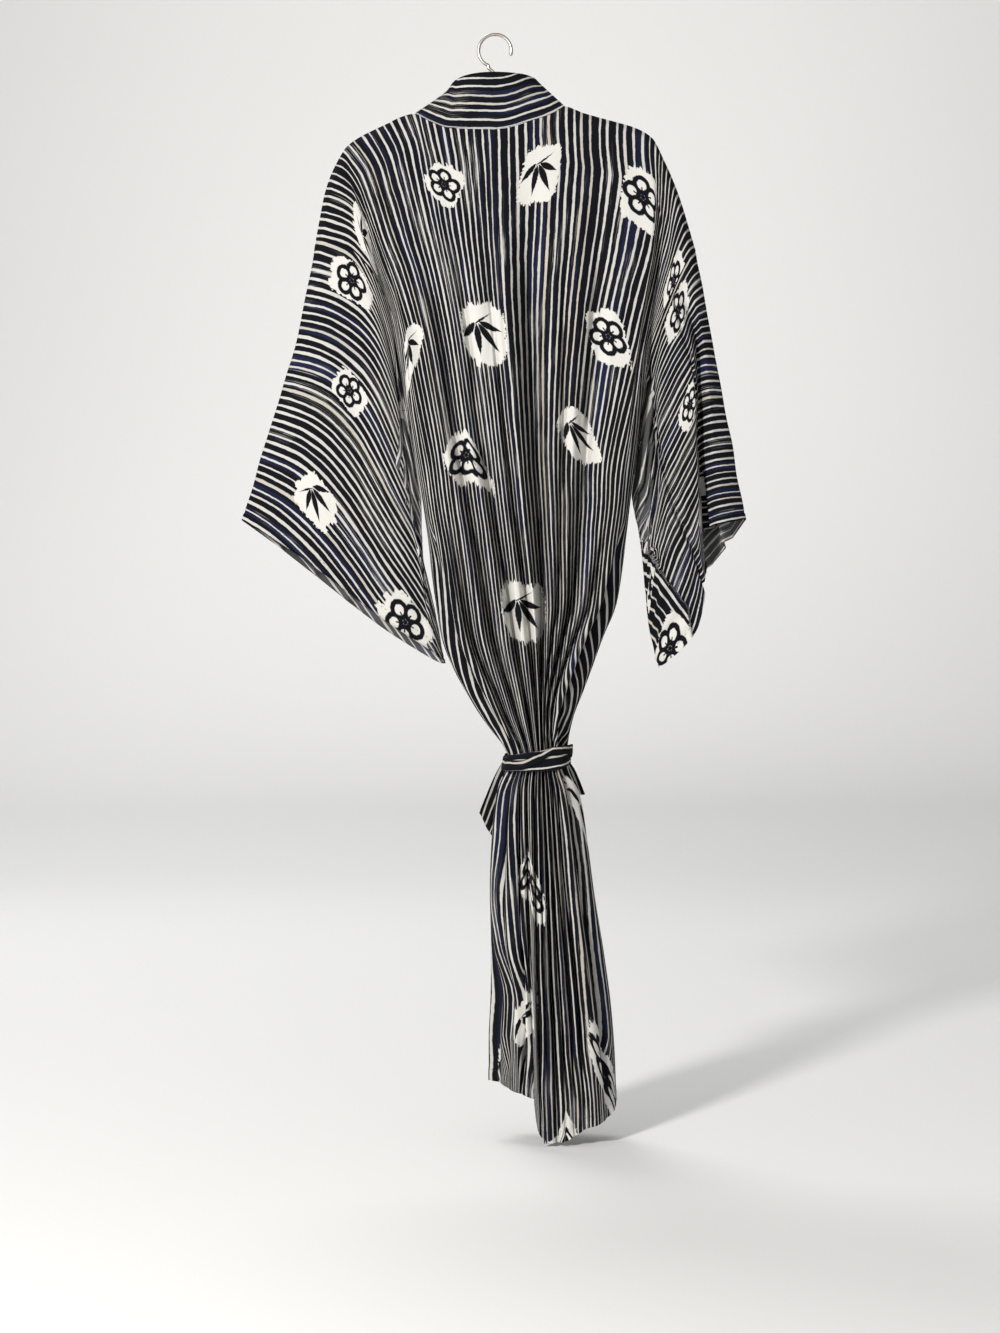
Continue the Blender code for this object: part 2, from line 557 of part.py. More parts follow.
def backs(cloth):
    """Both halves of the back; returns the armhole lines and their normals for the sleeves."""
    halves = {}
    for side in (-1, 1):
        neck = abs(across_place(NECK_X[side], -0.100))
        halves[side] = [*np.linspace(0, neck, 8), *np.linspace(neck, STRAIGHT, 6)[1:],
                        *np.linspace(STRAIGHT, 1, 6)[1:]]
    places = [-place for place in reversed(halves[-1][1:])] + halves[1]
    columns = []
    for place in places:
        side = -1 if place < 0 else 1
        columns.append(panel_column(side, -1, abs(place), lookup(BACK_HEM, place)))
    grid = np.array(columns).transpose(1, 0, 2)
    normals = facing(grid_normals(grid), (0, -1, 0))
    normals[:, 0] = side_normals(normals[:, 0], -1)
    normals[:, -1] = side_normals(normals[:, -1], -1)
    on_ridge = np.abs(grid[0, :, 1]) < 0.002
    normals[0, on_ridge] = drop_y(normals[0, on_ridge])
    middle = len(halves[-1]) - 1
    parts = {-1: ("back_left", slice(0, middle + 1)), 1: ("back_right", slice(middle, None))}
    for side, (name, piece) in parts.items():
        wall(name, pull(grid[:, piece], SEAM_GAP / 2, SEAM_GAP / 2), normals[:, piece], cloth)
    armholes = {-1: (grid[:, 0], normals[:, 0]), 1: (grid[:, -1], normals[:, -1])}
    return armholes, grid[0, middle - 7:middle + 8]


def side_normals(normals, face):
    """At the side seam both panels turn to the same side; in the valley they turn outwards."""
    foot = WING_ROWS + ARM_ROWS
    normals = normals.copy()
    normals[WING_ROWS + 1] += (0, face, 0)
    normals[WING_ROWS + 1] /= np.linalg.norm(normals[WING_ROWS + 1])
    normals[WING_ROWS + 2:foot] = (0, face, 0)
    normals[foot] = (0, 0, -1)
    normals[foot + 1:] = drop_y(normals[foot + 1:])
    return normals


def front_edge(side, z):
    return lookup(FRONT_EDGE[side], z)


def panel_edge(side, z):
    """Inner edge of a front panel: the collar's seam, and lower down the overlap's seam."""
    edge = front_edge(side, z)
    if z > OVERLAP_TOP:
        return edge
    return edge + side * max(side * (lookup(OVERLAP_SEAM[side], z) - edge), OVERLAP_TIP)


def across_place(x, z):
    """Signed place across the body at a position between the rounded sides."""
    left, right, seam, _, _, corner = section(z)
    if x < seam:
        return -(seam - x) / (seam - left - corner) * STRAIGHT
    return (x - seam) / (right - corner - seam) * STRAIGHT


def front_level(side, place, z):
    """The left front lies over the right one, and meets the back at the side seam."""
    if side > 0:
        return 0.0
    below = ease((ARMHOLE_Z - z) / 0.10)
    above_reach = ease((place + STRAIGHT) / 0.30)
    below_reach = ease((place + 1) / 0.12)
    return LAYER * ease((-0.16 - z) / 0.16) * (above_reach * (1 - below) + below_reach * below)


def front_at(side, x, z):
    """A point of a front at a position across and a height."""
    place = across_place(x, z)
    where = -1 if place < 0 else 1
    return body_point(where, 1, min(abs(place), 1.0), z, front_level(side, place, z))


def front_column(side, share):
    """One line of a front panel between its rounded side (share 0) and its inner edge (1)."""
    points = []
    for row in range(WING_ROWS + 1):
        distance = column_start(side, 0) * row / WING_ROWS
        x = NECK_X[side]
        for _ in range(4):
            z = shoulder_z(x) - distance
            x = front_across(side, share, z)
        point = front_at(side, x, z)
        points.append((point[0], point[1] * ridge(side, 1, x, distance), z))
    top = points[-1][2]
    heights = [top + (ARMHOLE_Z - top) * row / ARM_ROWS for row in range(1, ARM_ROWS + 1)]
    heights += [hem_height(z, FRONT_HEM[side]) for z in LOWER_ROWS]
    for z in heights:
        points.append(front_at(side, front_across(side, share, z), z))
    return points


def front_across(side, share, z):
    left, right, _, _, _, corner = section(z)
    lip = left + corner if side < 0 else right - corner
    return lip + (panel_edge(side, z) - lip) * share


def hem_height(z, hem):
    """Rows below the sash are spread evenly down to the hem."""
    if z >= BELT_Z:
        return z
    return BELT_Z + (z - BELT_Z) * (hem - BELT_Z) / (LOWER_ROWS[-1] - BELT_Z)


def front(side, cloth):
    """A front panel, its overlap panel and its stretch of the collar."""
    word = "left" if side < 0 else "right"
    columns = []
    for place in np.linspace(1, STRAIGHT, 6)[:-1]:
        columns.append(panel_column(side, 1, place, FRONT_HEM[side]))
    for share in np.linspace(0, 1, 10):
        columns.append(front_column(side, share))
    seam_heights = [point[2] for point in columns[-1]]
    first = next(i for i, z in enumerate(seam_heights) if z < OVERLAP_TOP)
    overlap = []
    for share in np.linspace(0, 1, 6)[1:]:
        line = []
        for z in seam_heights[first:]:
            inner, outer = panel_edge(side, z), front_edge(side, z)
            line.append(front_at(side, inner + (outer - inner) * share, z))
        overlap.append(line)
    grid = np.array(columns).transpose(1, 0, 2)
    normals = facing(grid_normals(grid), (0, 1, 0))
    normals[:, 0] = side_normals(normals[:, 0], 1)
    normals[0] = drop_y(normals[0])
    edge = len(columns) - 1
    lower = np.concatenate((grid[first:, edge:], np.array(overlap).transpose(1, 0, 2)), axis=1)
    both = np.concatenate((grid[first:, :edge], lower), axis=1)
    joined = facing(grid_normals(both), (0, 1, 0))
    normals[first + 1:, edge] = joined[1:, edge]
    wall("front_" + word, pull(grid, SEAM_GAP / 2, SEAM_GAP / 2), normals, cloth)
    over = joined[:, edge:]
    over[0, 0] = normals[first, edge]
    wall("overlap_" + word, pull(lower, SEAM_GAP / 2, SEAM_GAP / 2), over, cloth)
    foot = next(i for i, z in enumerate(seam_heights) if z < COLLAR_FOOT)
    seam = np.concatenate((grid[:first, edge], lower[:foot - first, -1]))
    seam_normals = np.concatenate((normals[:first, edge], over[:foot - first, -1]))
    return (grid[:, 0], normals[:, 0]), (seam, seam_normals)


def collar(fronts, neckline, cloth):
    """The collar as one strip, left foot to nape to right foot, made in three lengths."""
    runs = {}
    for side in (-1, 1):
        points, normals = fronts[side]
        rise = nape_top(neckline, side, 1.0) - neckline[0 if side < 0 else -1]
        run = []
        for foot in points:
            z = foot[2]
            upright = 1 - ease((points[0][2] - z) / COLLAR_TURN)
            line = []
            for share in np.linspace(0, 1, COLLAR_COLUMNS):
                reach = lookup(COLLAR_WIDTH, z) * share
                flat = np.array(front_at(side, foot[0] - side * reach, z))
                flat = foot + (flat - front_at(side, foot[0], z))
                line.append(flat + (foot + rise * share - flat) * upright)
            run.append(line)
        runs[side] = np.array(run)
    nape = []
    for index, foot in enumerate(neckline):
        along = index / 7 - 1
        foot = foot + (0, 0, 2.5 * SEAM_GAP)
        top = nape_top(neckline, -1 if along < 0 else 1, abs(along))
        nape.append([foot + (top - foot) * up for up in np.linspace(0, 1, COLLAR_COLUMNS)])
    nape = np.array(nape)
    strip = np.concatenate((runs[-1][:0:-1], nape, runs[1][1:]))
    normals = grid_normals(strip)
    first, last = len(runs[-1]) - 1, len(runs[-1]) + len(nape) - 2
    if normals[(first + last) // 2, :, 1].sum() > 0:
        normals = -normals
    normals[:first + 1, 0] = fronts[-1][1][::-1]
    normals[last:, 0] = fronts[1][1]
    strip[first, 0] = nape[0, 0]
    for name, rows in (("collar_left", slice(0, first + 1)), ("collar_back", slice(first, last + 1)),
                       ("collar_right", slice(last, None))):
        grid = pull(strip[rows].transpose(1, 0, 2), SEAM_GAP / 2, SEAM_GAP / 2, SEAM_GAP / 2)
        wall(name, grid, normals[rows].transpose(1, 0, 2), cloth, BAND)


def nape_top(neckline, side, along):
    """Upper edge of the standing collar: along runs from the nape (0) to the neck point (1)."""
    top_x, top_y, top_z = COLLAR_TOP[side]
    nape_x, nape_y, nape_z = COLLAR_TOP[0]
    turn = math.pi / 2 * along
    return np.array((nape_x + (top_x - nape_x) * math.sin(turn),
                     nape_y + (top_y - nape_y) * (1 - math.cos(turn)),
                     nape_z + (top_z - nape_z) * along ** 2))


def sleeve(side, back_line, front_line, cloth):
    """One sleeve: sections from the armhole's own line to the cuff."""
    foot = WING_ROWS + ARM_ROWS
    back, back_normals = back_line
    ahead, ahead_normals = front_line
    first = np.concatenate((back[:foot + 1], ahead[foot - 1:0:-1]))
    first[0, 1] = 0.0
    first[foot, 1] = 0.0
    first_normals = np.concatenate((back_normals[:foot + 1], ahead_normals[foot - 1:0:-1]))
    rings = LEFT_RINGS if side < 0 else RIGHT_RINGS
    count = 2 * foot
    knots = (0, 2, 4, 6, 8, 11, 14, 17, 20, 22, 24, 26, 28)
    sections = [first]
    for table in rings.values():
        table = np.array(table)
        around = np.concatenate((table[-3:], table, table[:3]))
        at = [knot - count for knot in knots[-4:-1]] + list(knots[:-1])
        at += [knot + count for knot in knots[:3]]
        sections.append(curve(np.arange(count), at, around))
    stations = (ARMHOLE_U, *rings)
    flat = np.array(sections).reshape(len(sections), -1)
    distances = np.linspace(ARMHOLE_U, CUFF_U, RING_COUNT + 1)
    grid = curve(distances, stations, flat).reshape(len(distances), count, 3)
    for step, apart in ((1, 0.0055), (2, 0.0070), (3, 0.0080)):
        one, two = grid[1:, foot - step], grid[1:, foot + step]
        between = two - one
        size = np.linalg.norm(between, axis=1, keepdims=True)
        push = between / size * np.maximum(apart - size, 0) / 2
        one -= push
        two += push
    normals = grid_normals(grid, closed=True)
    centre = grid.mean(axis=1, keepdims=True)
    normals = facing(normals, grid - centre)
    normals[0] = first_normals
    normals[0, 0] = drop_y(normals[0, 0])
    name = "sleeve_left" if side < 0 else "sleeve_right"
    wall(name, pull(grid, top=SEAM_GAP / 2), normals, cloth, closed=True)


def sash_lap(name, edges, clear, cloth):
    """One lap of the sash round the gathered waist."""
    quarter = (0.0, 0.25, 0.48, STRAIGHT, 0.76, 0.82, 0.88, 0.94)
    round_trip = [(1, -1, place) for place in quarter]
    round_trip += [(1, 1, 1.0)] + [(1, 1, place) for place in reversed(quarter[1:])]
    round_trip += [(-1, 1, place) for place in quarter]
    round_trip += [(-1, -1, 1.0)] + [(-1, -1, place) for place in reversed(quarter[1:])]
    line = []
    for index, (side, face, place) in enumerate(round_trip):
        top, bottom = curve(index / len(round_trip), edges[:, 0], edges[:, 1:])[0]
        level = clear + BAND
        if face > 0:
            level += LAYER * ease((1 - place) / 0.12)
        line.append([body_point(side, face, place, top + (bottom - top) * share, level, False)
                     for share in (0.0, 0.5, 1.0)])
    grid = np.array(line).transpose(1, 0, 2)
    middle = grid.mean(axis=1, keepdims=True)
    wall(name, grid, facing(grid_normals(grid, closed=True), grid - middle), cloth, BAND, True)


def ribbon(name, table, cloth, turn=0.0, ahead=0.0):
    """A hanging band along a path; with a turn it folds round at its end and comes back."""
    count = 7
    path = curve(np.linspace(0, 1, count), np.linspace(0, 1, len(table)), table)
    points = path[:, :3]
    along = np.gradient(points, axis=0) * (1, 0, 1)
    along /= np.linalg.norm(along, axis=1, keepdims=True)
    across = np.cross(along, (0, 1, 0))
    rows = [(points[i], across[i] * path[i, 3]) for i in range(count)]
    if turn:
        end, wide, last = points[-1], across[-1] * path[-1, 3], along[-1]
        for angle in (math.pi / 4, math.pi / 2, 3 * math.pi / 4):
            shift = last * math.sin(angle) + np.array((0, 1, 0)) * (1 - math.cos(angle))
            rows.append((end + shift * turn, wide))
        for i in range(count - 1, -1, -1):
            open_by = 2 * turn + ahead * math.sin(math.pi * i / (count - 1))
            if i < 2:
                open_by = 2 * turn * (0.6 + 0.2 * i)
            rows.append((points[i] + np.array((0, open_by, 0)), across[i] * path[i, 3]))
    grid = np.array([[middle + wide * share for share in (-1, -0.5, 0, 0.5, 1)]
                     for middle, wide in rows])
    normals = grid_normals(grid)
    outward = -1 if turn else 1
    if (normals[:count, :, 1] * outward).sum() < 0:
        normals = -normals
    wall(name, grid, normals, cloth, BAND)


def knot(cloth):
    """The wrap of the knot: a short band that goes round the laps' ends."""
    middle = np.array(KNOT_MIDDLE)
    grid = []
    for share in np.linspace(-1, 1, 5):
        pinch = 1 - 0.12 * (1 - share * share)
        line = []
        for i in range(16):
            angle = 2 * math.pi * i / 16
            y, z = math.cos(angle), math.sin(angle)
            size = (abs(y) ** 3 + abs(z) ** 3) ** (-1 / 3)
            line.append(middle + (share * KNOT_REACH * (1 + 0.1 * z), y * size * KNOT_DEPTH * pinch,
                                  z * size * KNOT_HEIGHT * pinch))
        grid.append(line)
    grid = np.array(grid)
    normals = facing(grid_normals(grid, closed=True), grid - middle)
    wall("sash_knot", grid, normals, cloth, BAND, True)


def hanger(wood):
    """Shaped wooden arms, rounded along their top."""
    sides = 10
    mesh = bmesh.new()
    rings = []
    stations = np.linspace(HANGER_TOP[0, 0], HANGER_TOP[-1, 0], 23)
    for x in stations:
        top, height = curve(x, HANGER_TOP[:, 0], HANGER_TOP[:, 1:])[0]
        end = min(x - stations[0], stations[-1] - x)
        deep = HANGER_DEPTH / 2 * (0.55 + 0.45 * ease(end / 0.03))
        ring = []
        for i in range(sides):
            angle = 2 * math.pi * i / sides
            y, z = math.sin(angle), math.cos(angle)
            size = (abs(y) ** 2.6 + abs(z) ** 2.6) ** (-1 / 2.6)
            ring.append(mesh.verts.new((x, y * size * deep, top - height / 2 * (1 - z * size))))
        rings.append(ring)
    for one, two in zip(rings, rings[1:]):
        for i in range(sides):
            k = (i + 1) % sides
            mesh.faces.new((one[i], one[k], two[k], two[i]))
    for ring in (rings[0], rings[-1]):
        mesh.faces.new(ring)
    bmesh.ops.triangulate(mesh, faces=mesh.faces[:])
    bmesh.ops.recalc_face_normals(mesh, faces=mesh.faces[:])
    finish("hanger", mesh, wood)


def hook(steel):
    """The bent wire: shank, swan neck and crook."""
    drop = -HOOK_RADIUS + HOOK_WIRE / 2
    path = [(0.0, shoulder_of_hanger(0.0) + SEAM_GAP), (0.0, drop - 0.034), (-0.002, drop - 0.027),
            (-0.008, drop - 0.0215)]
    path += [(HOOK_RADIUS * math.cos(a), drop + HOOK_RADIUS * math.sin(a))
             for a in np.radians(np.linspace(246, -18, 17))]
    path = np.array([(x, 0, z) for x, z in path])
    along = np.gradient(path, axis=0)
    along /= np.linalg.norm(along, axis=1, keepdims=True)
    mesh = bmesh.new()
    rings = []
    sides = 8
    for point, way in zip(path, along):
        out = np.cross(way, (0, 1, 0))
        ring = []
        for i in range(sides):
            angle = 2 * math.pi * i / sides
            offset = out * math.cos(angle) + np.array((0, 1, 0)) * math.sin(angle)
            ring.append(mesh.verts.new(point + offset * HOOK_WIRE / 2))
        rings.append(ring)
    for one, two in zip(rings, rings[1:]):
        for i in range(sides):
            k = (i + 1) % sides
            mesh.faces.new((one[i], one[k], two[k], two[i]))
    for ring in (rings[0], rings[-1]):
        mesh.faces.new(ring)
    bmesh.ops.triangulate(mesh, faces=mesh.faces[:])
    bmesh.ops.recalc_face_normals(mesh, faces=mesh.faces[:])
    finish("hanger_hook", mesh, steel)


def shoulder_of_hanger(x):
    return float(curve(x, HANGER_TOP[:, 0], HANGER_TOP[:, 1])[0])


def clear_scene():
    for thing in list(bpy.data.objects):
        bpy.data.objects.remove(thing, do_unlink=True)


def main():
    clear_scene()
    cloth = make_material("striped_cotton", (0.05, 0.055, 0.09), 0.85)
    wood = make_material("pale_wood", (0.62, 0.47, 0.32), 0.5)
    steel = make_material("hook_steel", (0.72, 0.72, 0.72), 0.3, 1.0)
    armholes, neckline = backs(cloth)
    edges = {}
    for side in (-1, 1):
        armhole, edges[side] = front(side, cloth)
        sleeve(side, armholes[side], armhole, cloth)
    collar(edges, neckline, cloth)
    sash_lap("sash_inner_lap", SASH_INNER, SASH_CLEAR, cloth)
    sash_lap("sash_outer_lap", SASH_OUTER, SASH_CLEAR + BAND + 2 * SEAM_GAP, cloth)
    knot(cloth)
    for side, word in ((-1, "left"), (1, "right")):
        ribbon("sash_ear_" + word, EARS[side], cloth, EAR_TURN, 0.004)
        ribbon("sash_tail_" + word, TAILS[side], cloth)
    hanger(wood)
    hook(steel)


main()
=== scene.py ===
import math

import bpy
import numpy as np
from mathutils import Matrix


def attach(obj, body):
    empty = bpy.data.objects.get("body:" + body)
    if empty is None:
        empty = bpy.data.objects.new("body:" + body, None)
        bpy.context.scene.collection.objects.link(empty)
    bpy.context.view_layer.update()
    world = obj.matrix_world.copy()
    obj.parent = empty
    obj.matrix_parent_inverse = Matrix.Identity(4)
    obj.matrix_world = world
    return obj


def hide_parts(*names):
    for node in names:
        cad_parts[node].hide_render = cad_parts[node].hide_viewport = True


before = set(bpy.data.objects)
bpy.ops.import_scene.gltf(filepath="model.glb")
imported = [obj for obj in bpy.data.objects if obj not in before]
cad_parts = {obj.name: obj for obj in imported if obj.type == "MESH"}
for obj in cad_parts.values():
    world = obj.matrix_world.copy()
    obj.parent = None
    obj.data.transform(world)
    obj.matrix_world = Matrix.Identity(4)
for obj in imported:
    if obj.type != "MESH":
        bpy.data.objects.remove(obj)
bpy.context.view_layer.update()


# ---- Hanger --------------------------------------------------------------------------------
# A shaped arm of pale beech with rounded edges, sanded and waxed, that carries the shoulders.
# It is sawn from a board, so the grain runs from end to end.


def mm(*rows):
    """A table of sizes in millimetres, as metres."""
    return np.array(rows) / 1000


HANGER_TOP = mm(
    # x, z, height
    (-186, -145, 12), (-172, -134.5, 18), (-144, -119, 22), (-100, -103, 24), (-85, -100, 24),
    (-50, -88, 25), (0, -80, 26), (50, -84, 25), (75, -91, 24), (87, -94, 24), (131, -107, 22),
    (160, -115, 20), (181, -122, 17), (196, -135.5, 11))
HANGER_DEPTH = 0.009
ARM_RINGS, ARM_SIDES = 150, 32
ROUNDNESS = 2.6  # 2 would be an oval, and more is squarer
BEECH = (0.6, 0.43, 0.27, 1)
BEECH_DARK = (0.4, 0.26, 0.14, 1)


def curve(at, stations, values):
    """Smooth curve through a table that never swings past its own values."""
    at = np.atleast_1d(np.asarray(at, float))
    stations = np.asarray(stations, float)
    values = np.asarray(values, float)
    if stations[0] > stations[-1]:
        stations = stations[::-1]
        values = values[::-1]
    if values.ndim == 1:
        values = values[:, None]
    step = np.diff(stations)[:, None]
    slope = np.diff(values, axis=0) / step
    tangent = np.zeros_like(values)
    tangent[0] = slope[0]
    tangent[-1] = slope[-1]
    before, after = slope[:-1], slope[1:]
    same = before * after > 0
    with np.errstate(divide="ignore", invalid="ignore"):
        mean = 2 * before * after / (before + after)
    tangent[1:-1] = np.where(same, mean, 0)
    cell = np.clip(np.searchsorted(stations, at) - 1, 0, len(stations) - 2)
    t = np.clip((at - stations[cell]) / step[cell, 0], 0, 1)[:, None]
    width = step[cell]
    result = ((1 + 2 * t) * (1 - t) ** 2 * values[cell]
              + t * (1 - t) ** 2 * width * tangent[cell]
              + t ** 2 * (3 - 2 * t) * values[cell + 1]
              + t ** 2 * (t - 1) * width * tangent[cell + 1])
    return result if result.shape[1] > 1 else result[:, 0]


def row_at(table, at):
    """The other columns of a table where its first one has a value."""
    return curve(at, table[:, 0], table[:, 1:])[0]


def ease(t):
    """Smooth step from 0 to 1."""
    t = np.clip(t, 0.0, 1.0)
    return t * t * (3 - 2 * t)


class Amount:
    """A value that changes over a material; arithmetic on it adds Math nodes."""

    def __init__(self, tree, socket):
        self.tree, self.socket = tree, socket

    def node(self, kind, settings, values, output=0):
        """Adds any node: its settings first, then the values or links of its sockets."""
        made = self.tree.nodes.new(kind)
        for name, value in settings.items():
            setattr(made, name, value)
        for name, value in values.items():
            if isinstance(value, Amount):
                self.tree.links.new(value.socket, made.inputs[name])
            else:
                made.inputs[name].default_value = value
        return Amount(self.tree, made.outputs[output])

    def math(self, operation, *others):
        values = dict(enumerate((self, *others)))
        return self.node("ShaderNodeMath", {"operation": operation}, values)

    def __add__(self, other):
        return self.math("ADD", other)

    def __sub__(self, other):
        return self.math("SUBTRACT", other)

    def __mul__(self, other):
        return self.math("MULTIPLY", other)

    def __truediv__(self, other):
        return self.math("DIVIDE", other)

    def __rsub__(self, other):
        return self.node("ShaderNodeMath", {"operation": "SUBTRACT"}, {0: other, 1: self})

    __radd__ = __add__
    __rmul__ = __mul__

    def step(self, low, high):
        """0 at low and 1 at high, with a soft change between them."""
        return self.node("ShaderNodeMapRange", {"interpolation_type": "SMOOTHSTEP"},
                         {"Value": self, "From Min": low, "From Max": high})

    def scaled(self, x, y, z=0.0):
        """A place with each of its coordinates multiplied."""
        return self.node("ShaderNodeVectorMath", {"operation": "MULTIPLY"},
                         {0: self, 1: (x, y, z)})

    def part(self, index):
        return self.node("ShaderNodeSeparateXYZ", {}, {0: self}, index)

    def noise(self, detail=2.0, rough=0.5):
        """Soft noise from about 0.25 to 0.75, one patch to a unit of this place."""
        return self.node("ShaderNodeTexNoise", {"noise_dimensions": "3D"},
                         {"Vector": self, "Scale": 1.0, "Detail": detail, "Roughness": rough})

    def chance(self, shift=0.0):
        """A random number that belongs to this whole number."""
        return self.node("ShaderNodeTexWhiteNoise", {"noise_dimensions": "1D"},
                         {"W": self + shift})

    def mixed(self, one, two):
        """Colour one where this is 0 and colour two where it is 1."""
        return self.node("ShaderNodeMix", {"data_type": "RGBA"}, {0: self, 6: one, 7: two}, 2)


def new_finish(name, **fixed):
    """A material, its shader's inputs, and a place on its surface to start sums from."""
    material = bpy.data.materials.new(name)
    material.use_nodes = True
    tree = material.node_tree
    shader = tree.nodes["Principled BSDF"]
    for key, value in fixed.items():
        shader.inputs[key.replace("_", " ")].default_value = value
    texture = tree.nodes.new("ShaderNodeTexCoord")
    return material, shader, Amount(tree, texture.outputs["Object"])


def feed(shader, name, amount):
    amount.tree.links.new(amount.socket, shader.inputs[name])


def bump(height, strength, distance):
    return height.node("ShaderNodeBump", {}, {"Strength": strength, "Distance": distance,
                                              "Height": height})


def beech():
    """Long pores and slow growth rings that run along the arm."""
    material, shader, place = new_finish("waxed_beech", Coat_Weight=0.12, Coat_Roughness=0.3)
    drift = place.scaled(9, 30, 30).noise(3)
    ring = (place.part(2) * 520 + drift * 14).math("SINE") * 0.5 + 0.5
    pores = place.scaled(90, 1500, 1500).noise(2).step(0.52, 0.66)
    tone = ring * 0.35 + pores * 0.35 + drift * 0.3
    feed(shader, "Base Color", tone.mixed(BEECH, BEECH_DARK))
    feed(shader, "Roughness", pores * 0.18 + 0.42)
    feed(shader, "Normal", bump(pores * -1.0 + ring * 0.2, 0.25, 0.0004))
    return material


def put(name, data):
    """An object in the scene with this mesh, light or camera."""
    made = bpy.data.objects.new(name, data)
    bpy.context.scene.collection.objects.link(made)
    return made


def lay_mesh(name, points, faces, materials, slots=None, **uv_maps):
    """A smooth mesh from points and faces, with its UV maps by name."""
    mesh = bpy.data.meshes.new(name)
    mesh.from_pydata(np.asarray(points).tolist(), [], [[int(i) for i in face] for face in faces])
    for material in materials:
        mesh.materials.append(material)
    for title, places in uv_maps.items():
        layer = mesh.uv_layers.new(name=title)
        layer.uv.foreach_set("vector", places.astype(np.float32).ravel())
    if slots is not None:
        mesh.polygons.foreach_set("material_index", slots)
    mesh.shade_smooth()
    mesh.update()
    return put(name, mesh)


def tube(rings):
    """Points and outward faces of a row of rings, closed at both ends."""
    rings = np.asarray(rings)
    count, sides = rings.shape[:2]
    index = np.arange(count * sides).reshape(count, sides)
    near, far = index[:-1], index[1:]
    faces = np.stack((near, np.roll(near, -1, 1), np.roll(far, -1, 1), far), -1).reshape(-1, 4)
    points = rings.reshape(-1, 3).tolist()
    faces = faces.tolist()
    for ring, turn in ((index[0], 1), (index[-1], -1)):
        points.append(np.mean([points[i] for i in ring], axis=0).tolist())
        middle = len(points) - 1
        for one, two in zip(ring, np.roll(ring, -1)):
            faces.append([middle, two, one][::turn])
    return points, faces


rings = []
for x in np.linspace(HANGER_TOP[0, 0], HANGER_TOP[-1, 0], ARM_RINGS):
    top, height = row_at(HANGER_TOP, x)
    end = min(x - HANGER_TOP[0, 0], HANGER_TOP[-1, 0] - x)
    deep = HANGER_DEPTH / 2 * (0.55 + 0.45 * ease(end / 0.03))
    tip = math.sqrt(max(1 - (1 - min(end / 0.004, 1.0)) ** 2, 0.02))
    angle = np.linspace(0, 2 * math.pi, ARM_SIDES, endpoint=False)
    y, z = np.sin(angle), np.cos(angle)
    size = (abs(y) ** ROUNDNESS + abs(z) ** ROUNDNESS) ** (-1 / ROUNDNESS)
    middle = top - height / 2
    rings.append(np.stack((np.full(ARM_SIDES, x), y * size * deep * tip,
                           middle + z * size * height / 2 * tip), 1))
points, faces = tube(rings)
arm = lay_mesh("hanger_arm", points, faces, [beech()])
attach(arm, "root")
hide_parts("hanger")


# ---- Hook ----------------------------------------------------------------------------------
# Nickel-plated steel wire, screwed into the middle of the arm and bent into a swan neck and an
# open crook that hangs on the rail. Its end is rounded off.

HOOK_WIRE = 0.0042
HOOK_RADIUS = 0.0205
HOOK_TIP = 0.0021  # length of the wire's rounded end
PLATING, PLATING_DULL = (0.62, 0.58, 0.5, 1), (0.48, 0.44, 0.37, 1)


def plated_steel():
    """Satin plating, a little dull where the crook rubs on the rail."""
    material, shader, place = new_finish("plated_steel", Metallic=1.0)
    rubbed = place.scaled(160, 160, 160).noise(4)
    fine = place.scaled(2600, 2600, 300).noise(2)
    feed(shader, "Base Color", rubbed.step(0.4, 0.65).mixed(PLATING, PLATING_DULL))
    feed(shader, "Roughness", rubbed * 0.25 + 0.2)
    feed(shader, "Normal", bump(fine, 0.12, 0.0001))
    return material


drop = -HOOK_RADIUS + HOOK_WIRE / 2
stem = row_at(HANGER_TOP, 0.0)[0] - 0.004
path = [(0.0, stem), (0.0, stem + 0.006), (0.0, drop - 0.034), (-0.002, drop - 0.027),
        (-0.008, drop - 0.0215)]
path += [(HOOK_RADIUS * math.cos(a), drop + HOOK_RADIUS * math.sin(a))
         for a in np.radians(np.linspace(246, -18, 17))]
path = np.array([(x, 0, z) for x, z in path])
path = curve(np.linspace(0, len(path) - 1, 240), np.arange(len(path)), path)
along = np.gradient(path, axis=0)
along /= np.linalg.norm(along, axis=1, keepdims=True)
rings = []
for number, (point, way) in enumerate(zip(path, along)):
    left_over = np.linalg.norm(np.diff(path[number:], axis=0), axis=1).sum()
    tip = max(1 - left_over / HOOK_TIP, 0)
    radius = HOOK_WIRE / 2 * math.sqrt(max(1 - tip ** 2, 0.01))
    angle = np.linspace(0, 2 * math.pi, 20, endpoint=False)[:, None]
    out = np.cross(way, (0, 1, 0))
    rings.append(point + (out * np.cos(angle) + np.array((0, 1, 0)) * np.sin(angle)) * radius)
points, faces = tube(rings)
crook = lay_mesh("hanger_crook", points, faces, [plated_steel()])
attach(crook, "root")
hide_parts("hanger_hook")


# ---- Back ----------------------------------------------------------------------------------
# Two lengths of printed cotton joined down the middle by a hand-sewn seam. They hang from the
# arm in folds, run on into the valleys beside the sleeves, and are drawn together by the sash.

ARMHOLE_Z = -0.575  # foot of both armholes
BELT_Z = -0.901  # middle of the sash
ARMHOLE_U = 0.32  # centre-back seam to armhole along the shoulder
HANGER_U = 0.2  # centre-back seam to the end of the hanger
STRAIGHT = 0.7  # share of a half panel that lies flat before it rounds the side

WING_ROWS = 8  # rows from the fold of the shoulder to the valley beside the sleeve
ARM_ROWS = 6  # rows from there to the foot of the armhole
LOWER_ROWS = (-0.62, -0.665, -0.71, -0.752, -0.79, -0.822, -0.848, -0.868, -0.886,
              -0.901, -0.916, -0.936, -0.962, -1.005, -1.065, -1.13, -1.195, -1.255, -1.305)


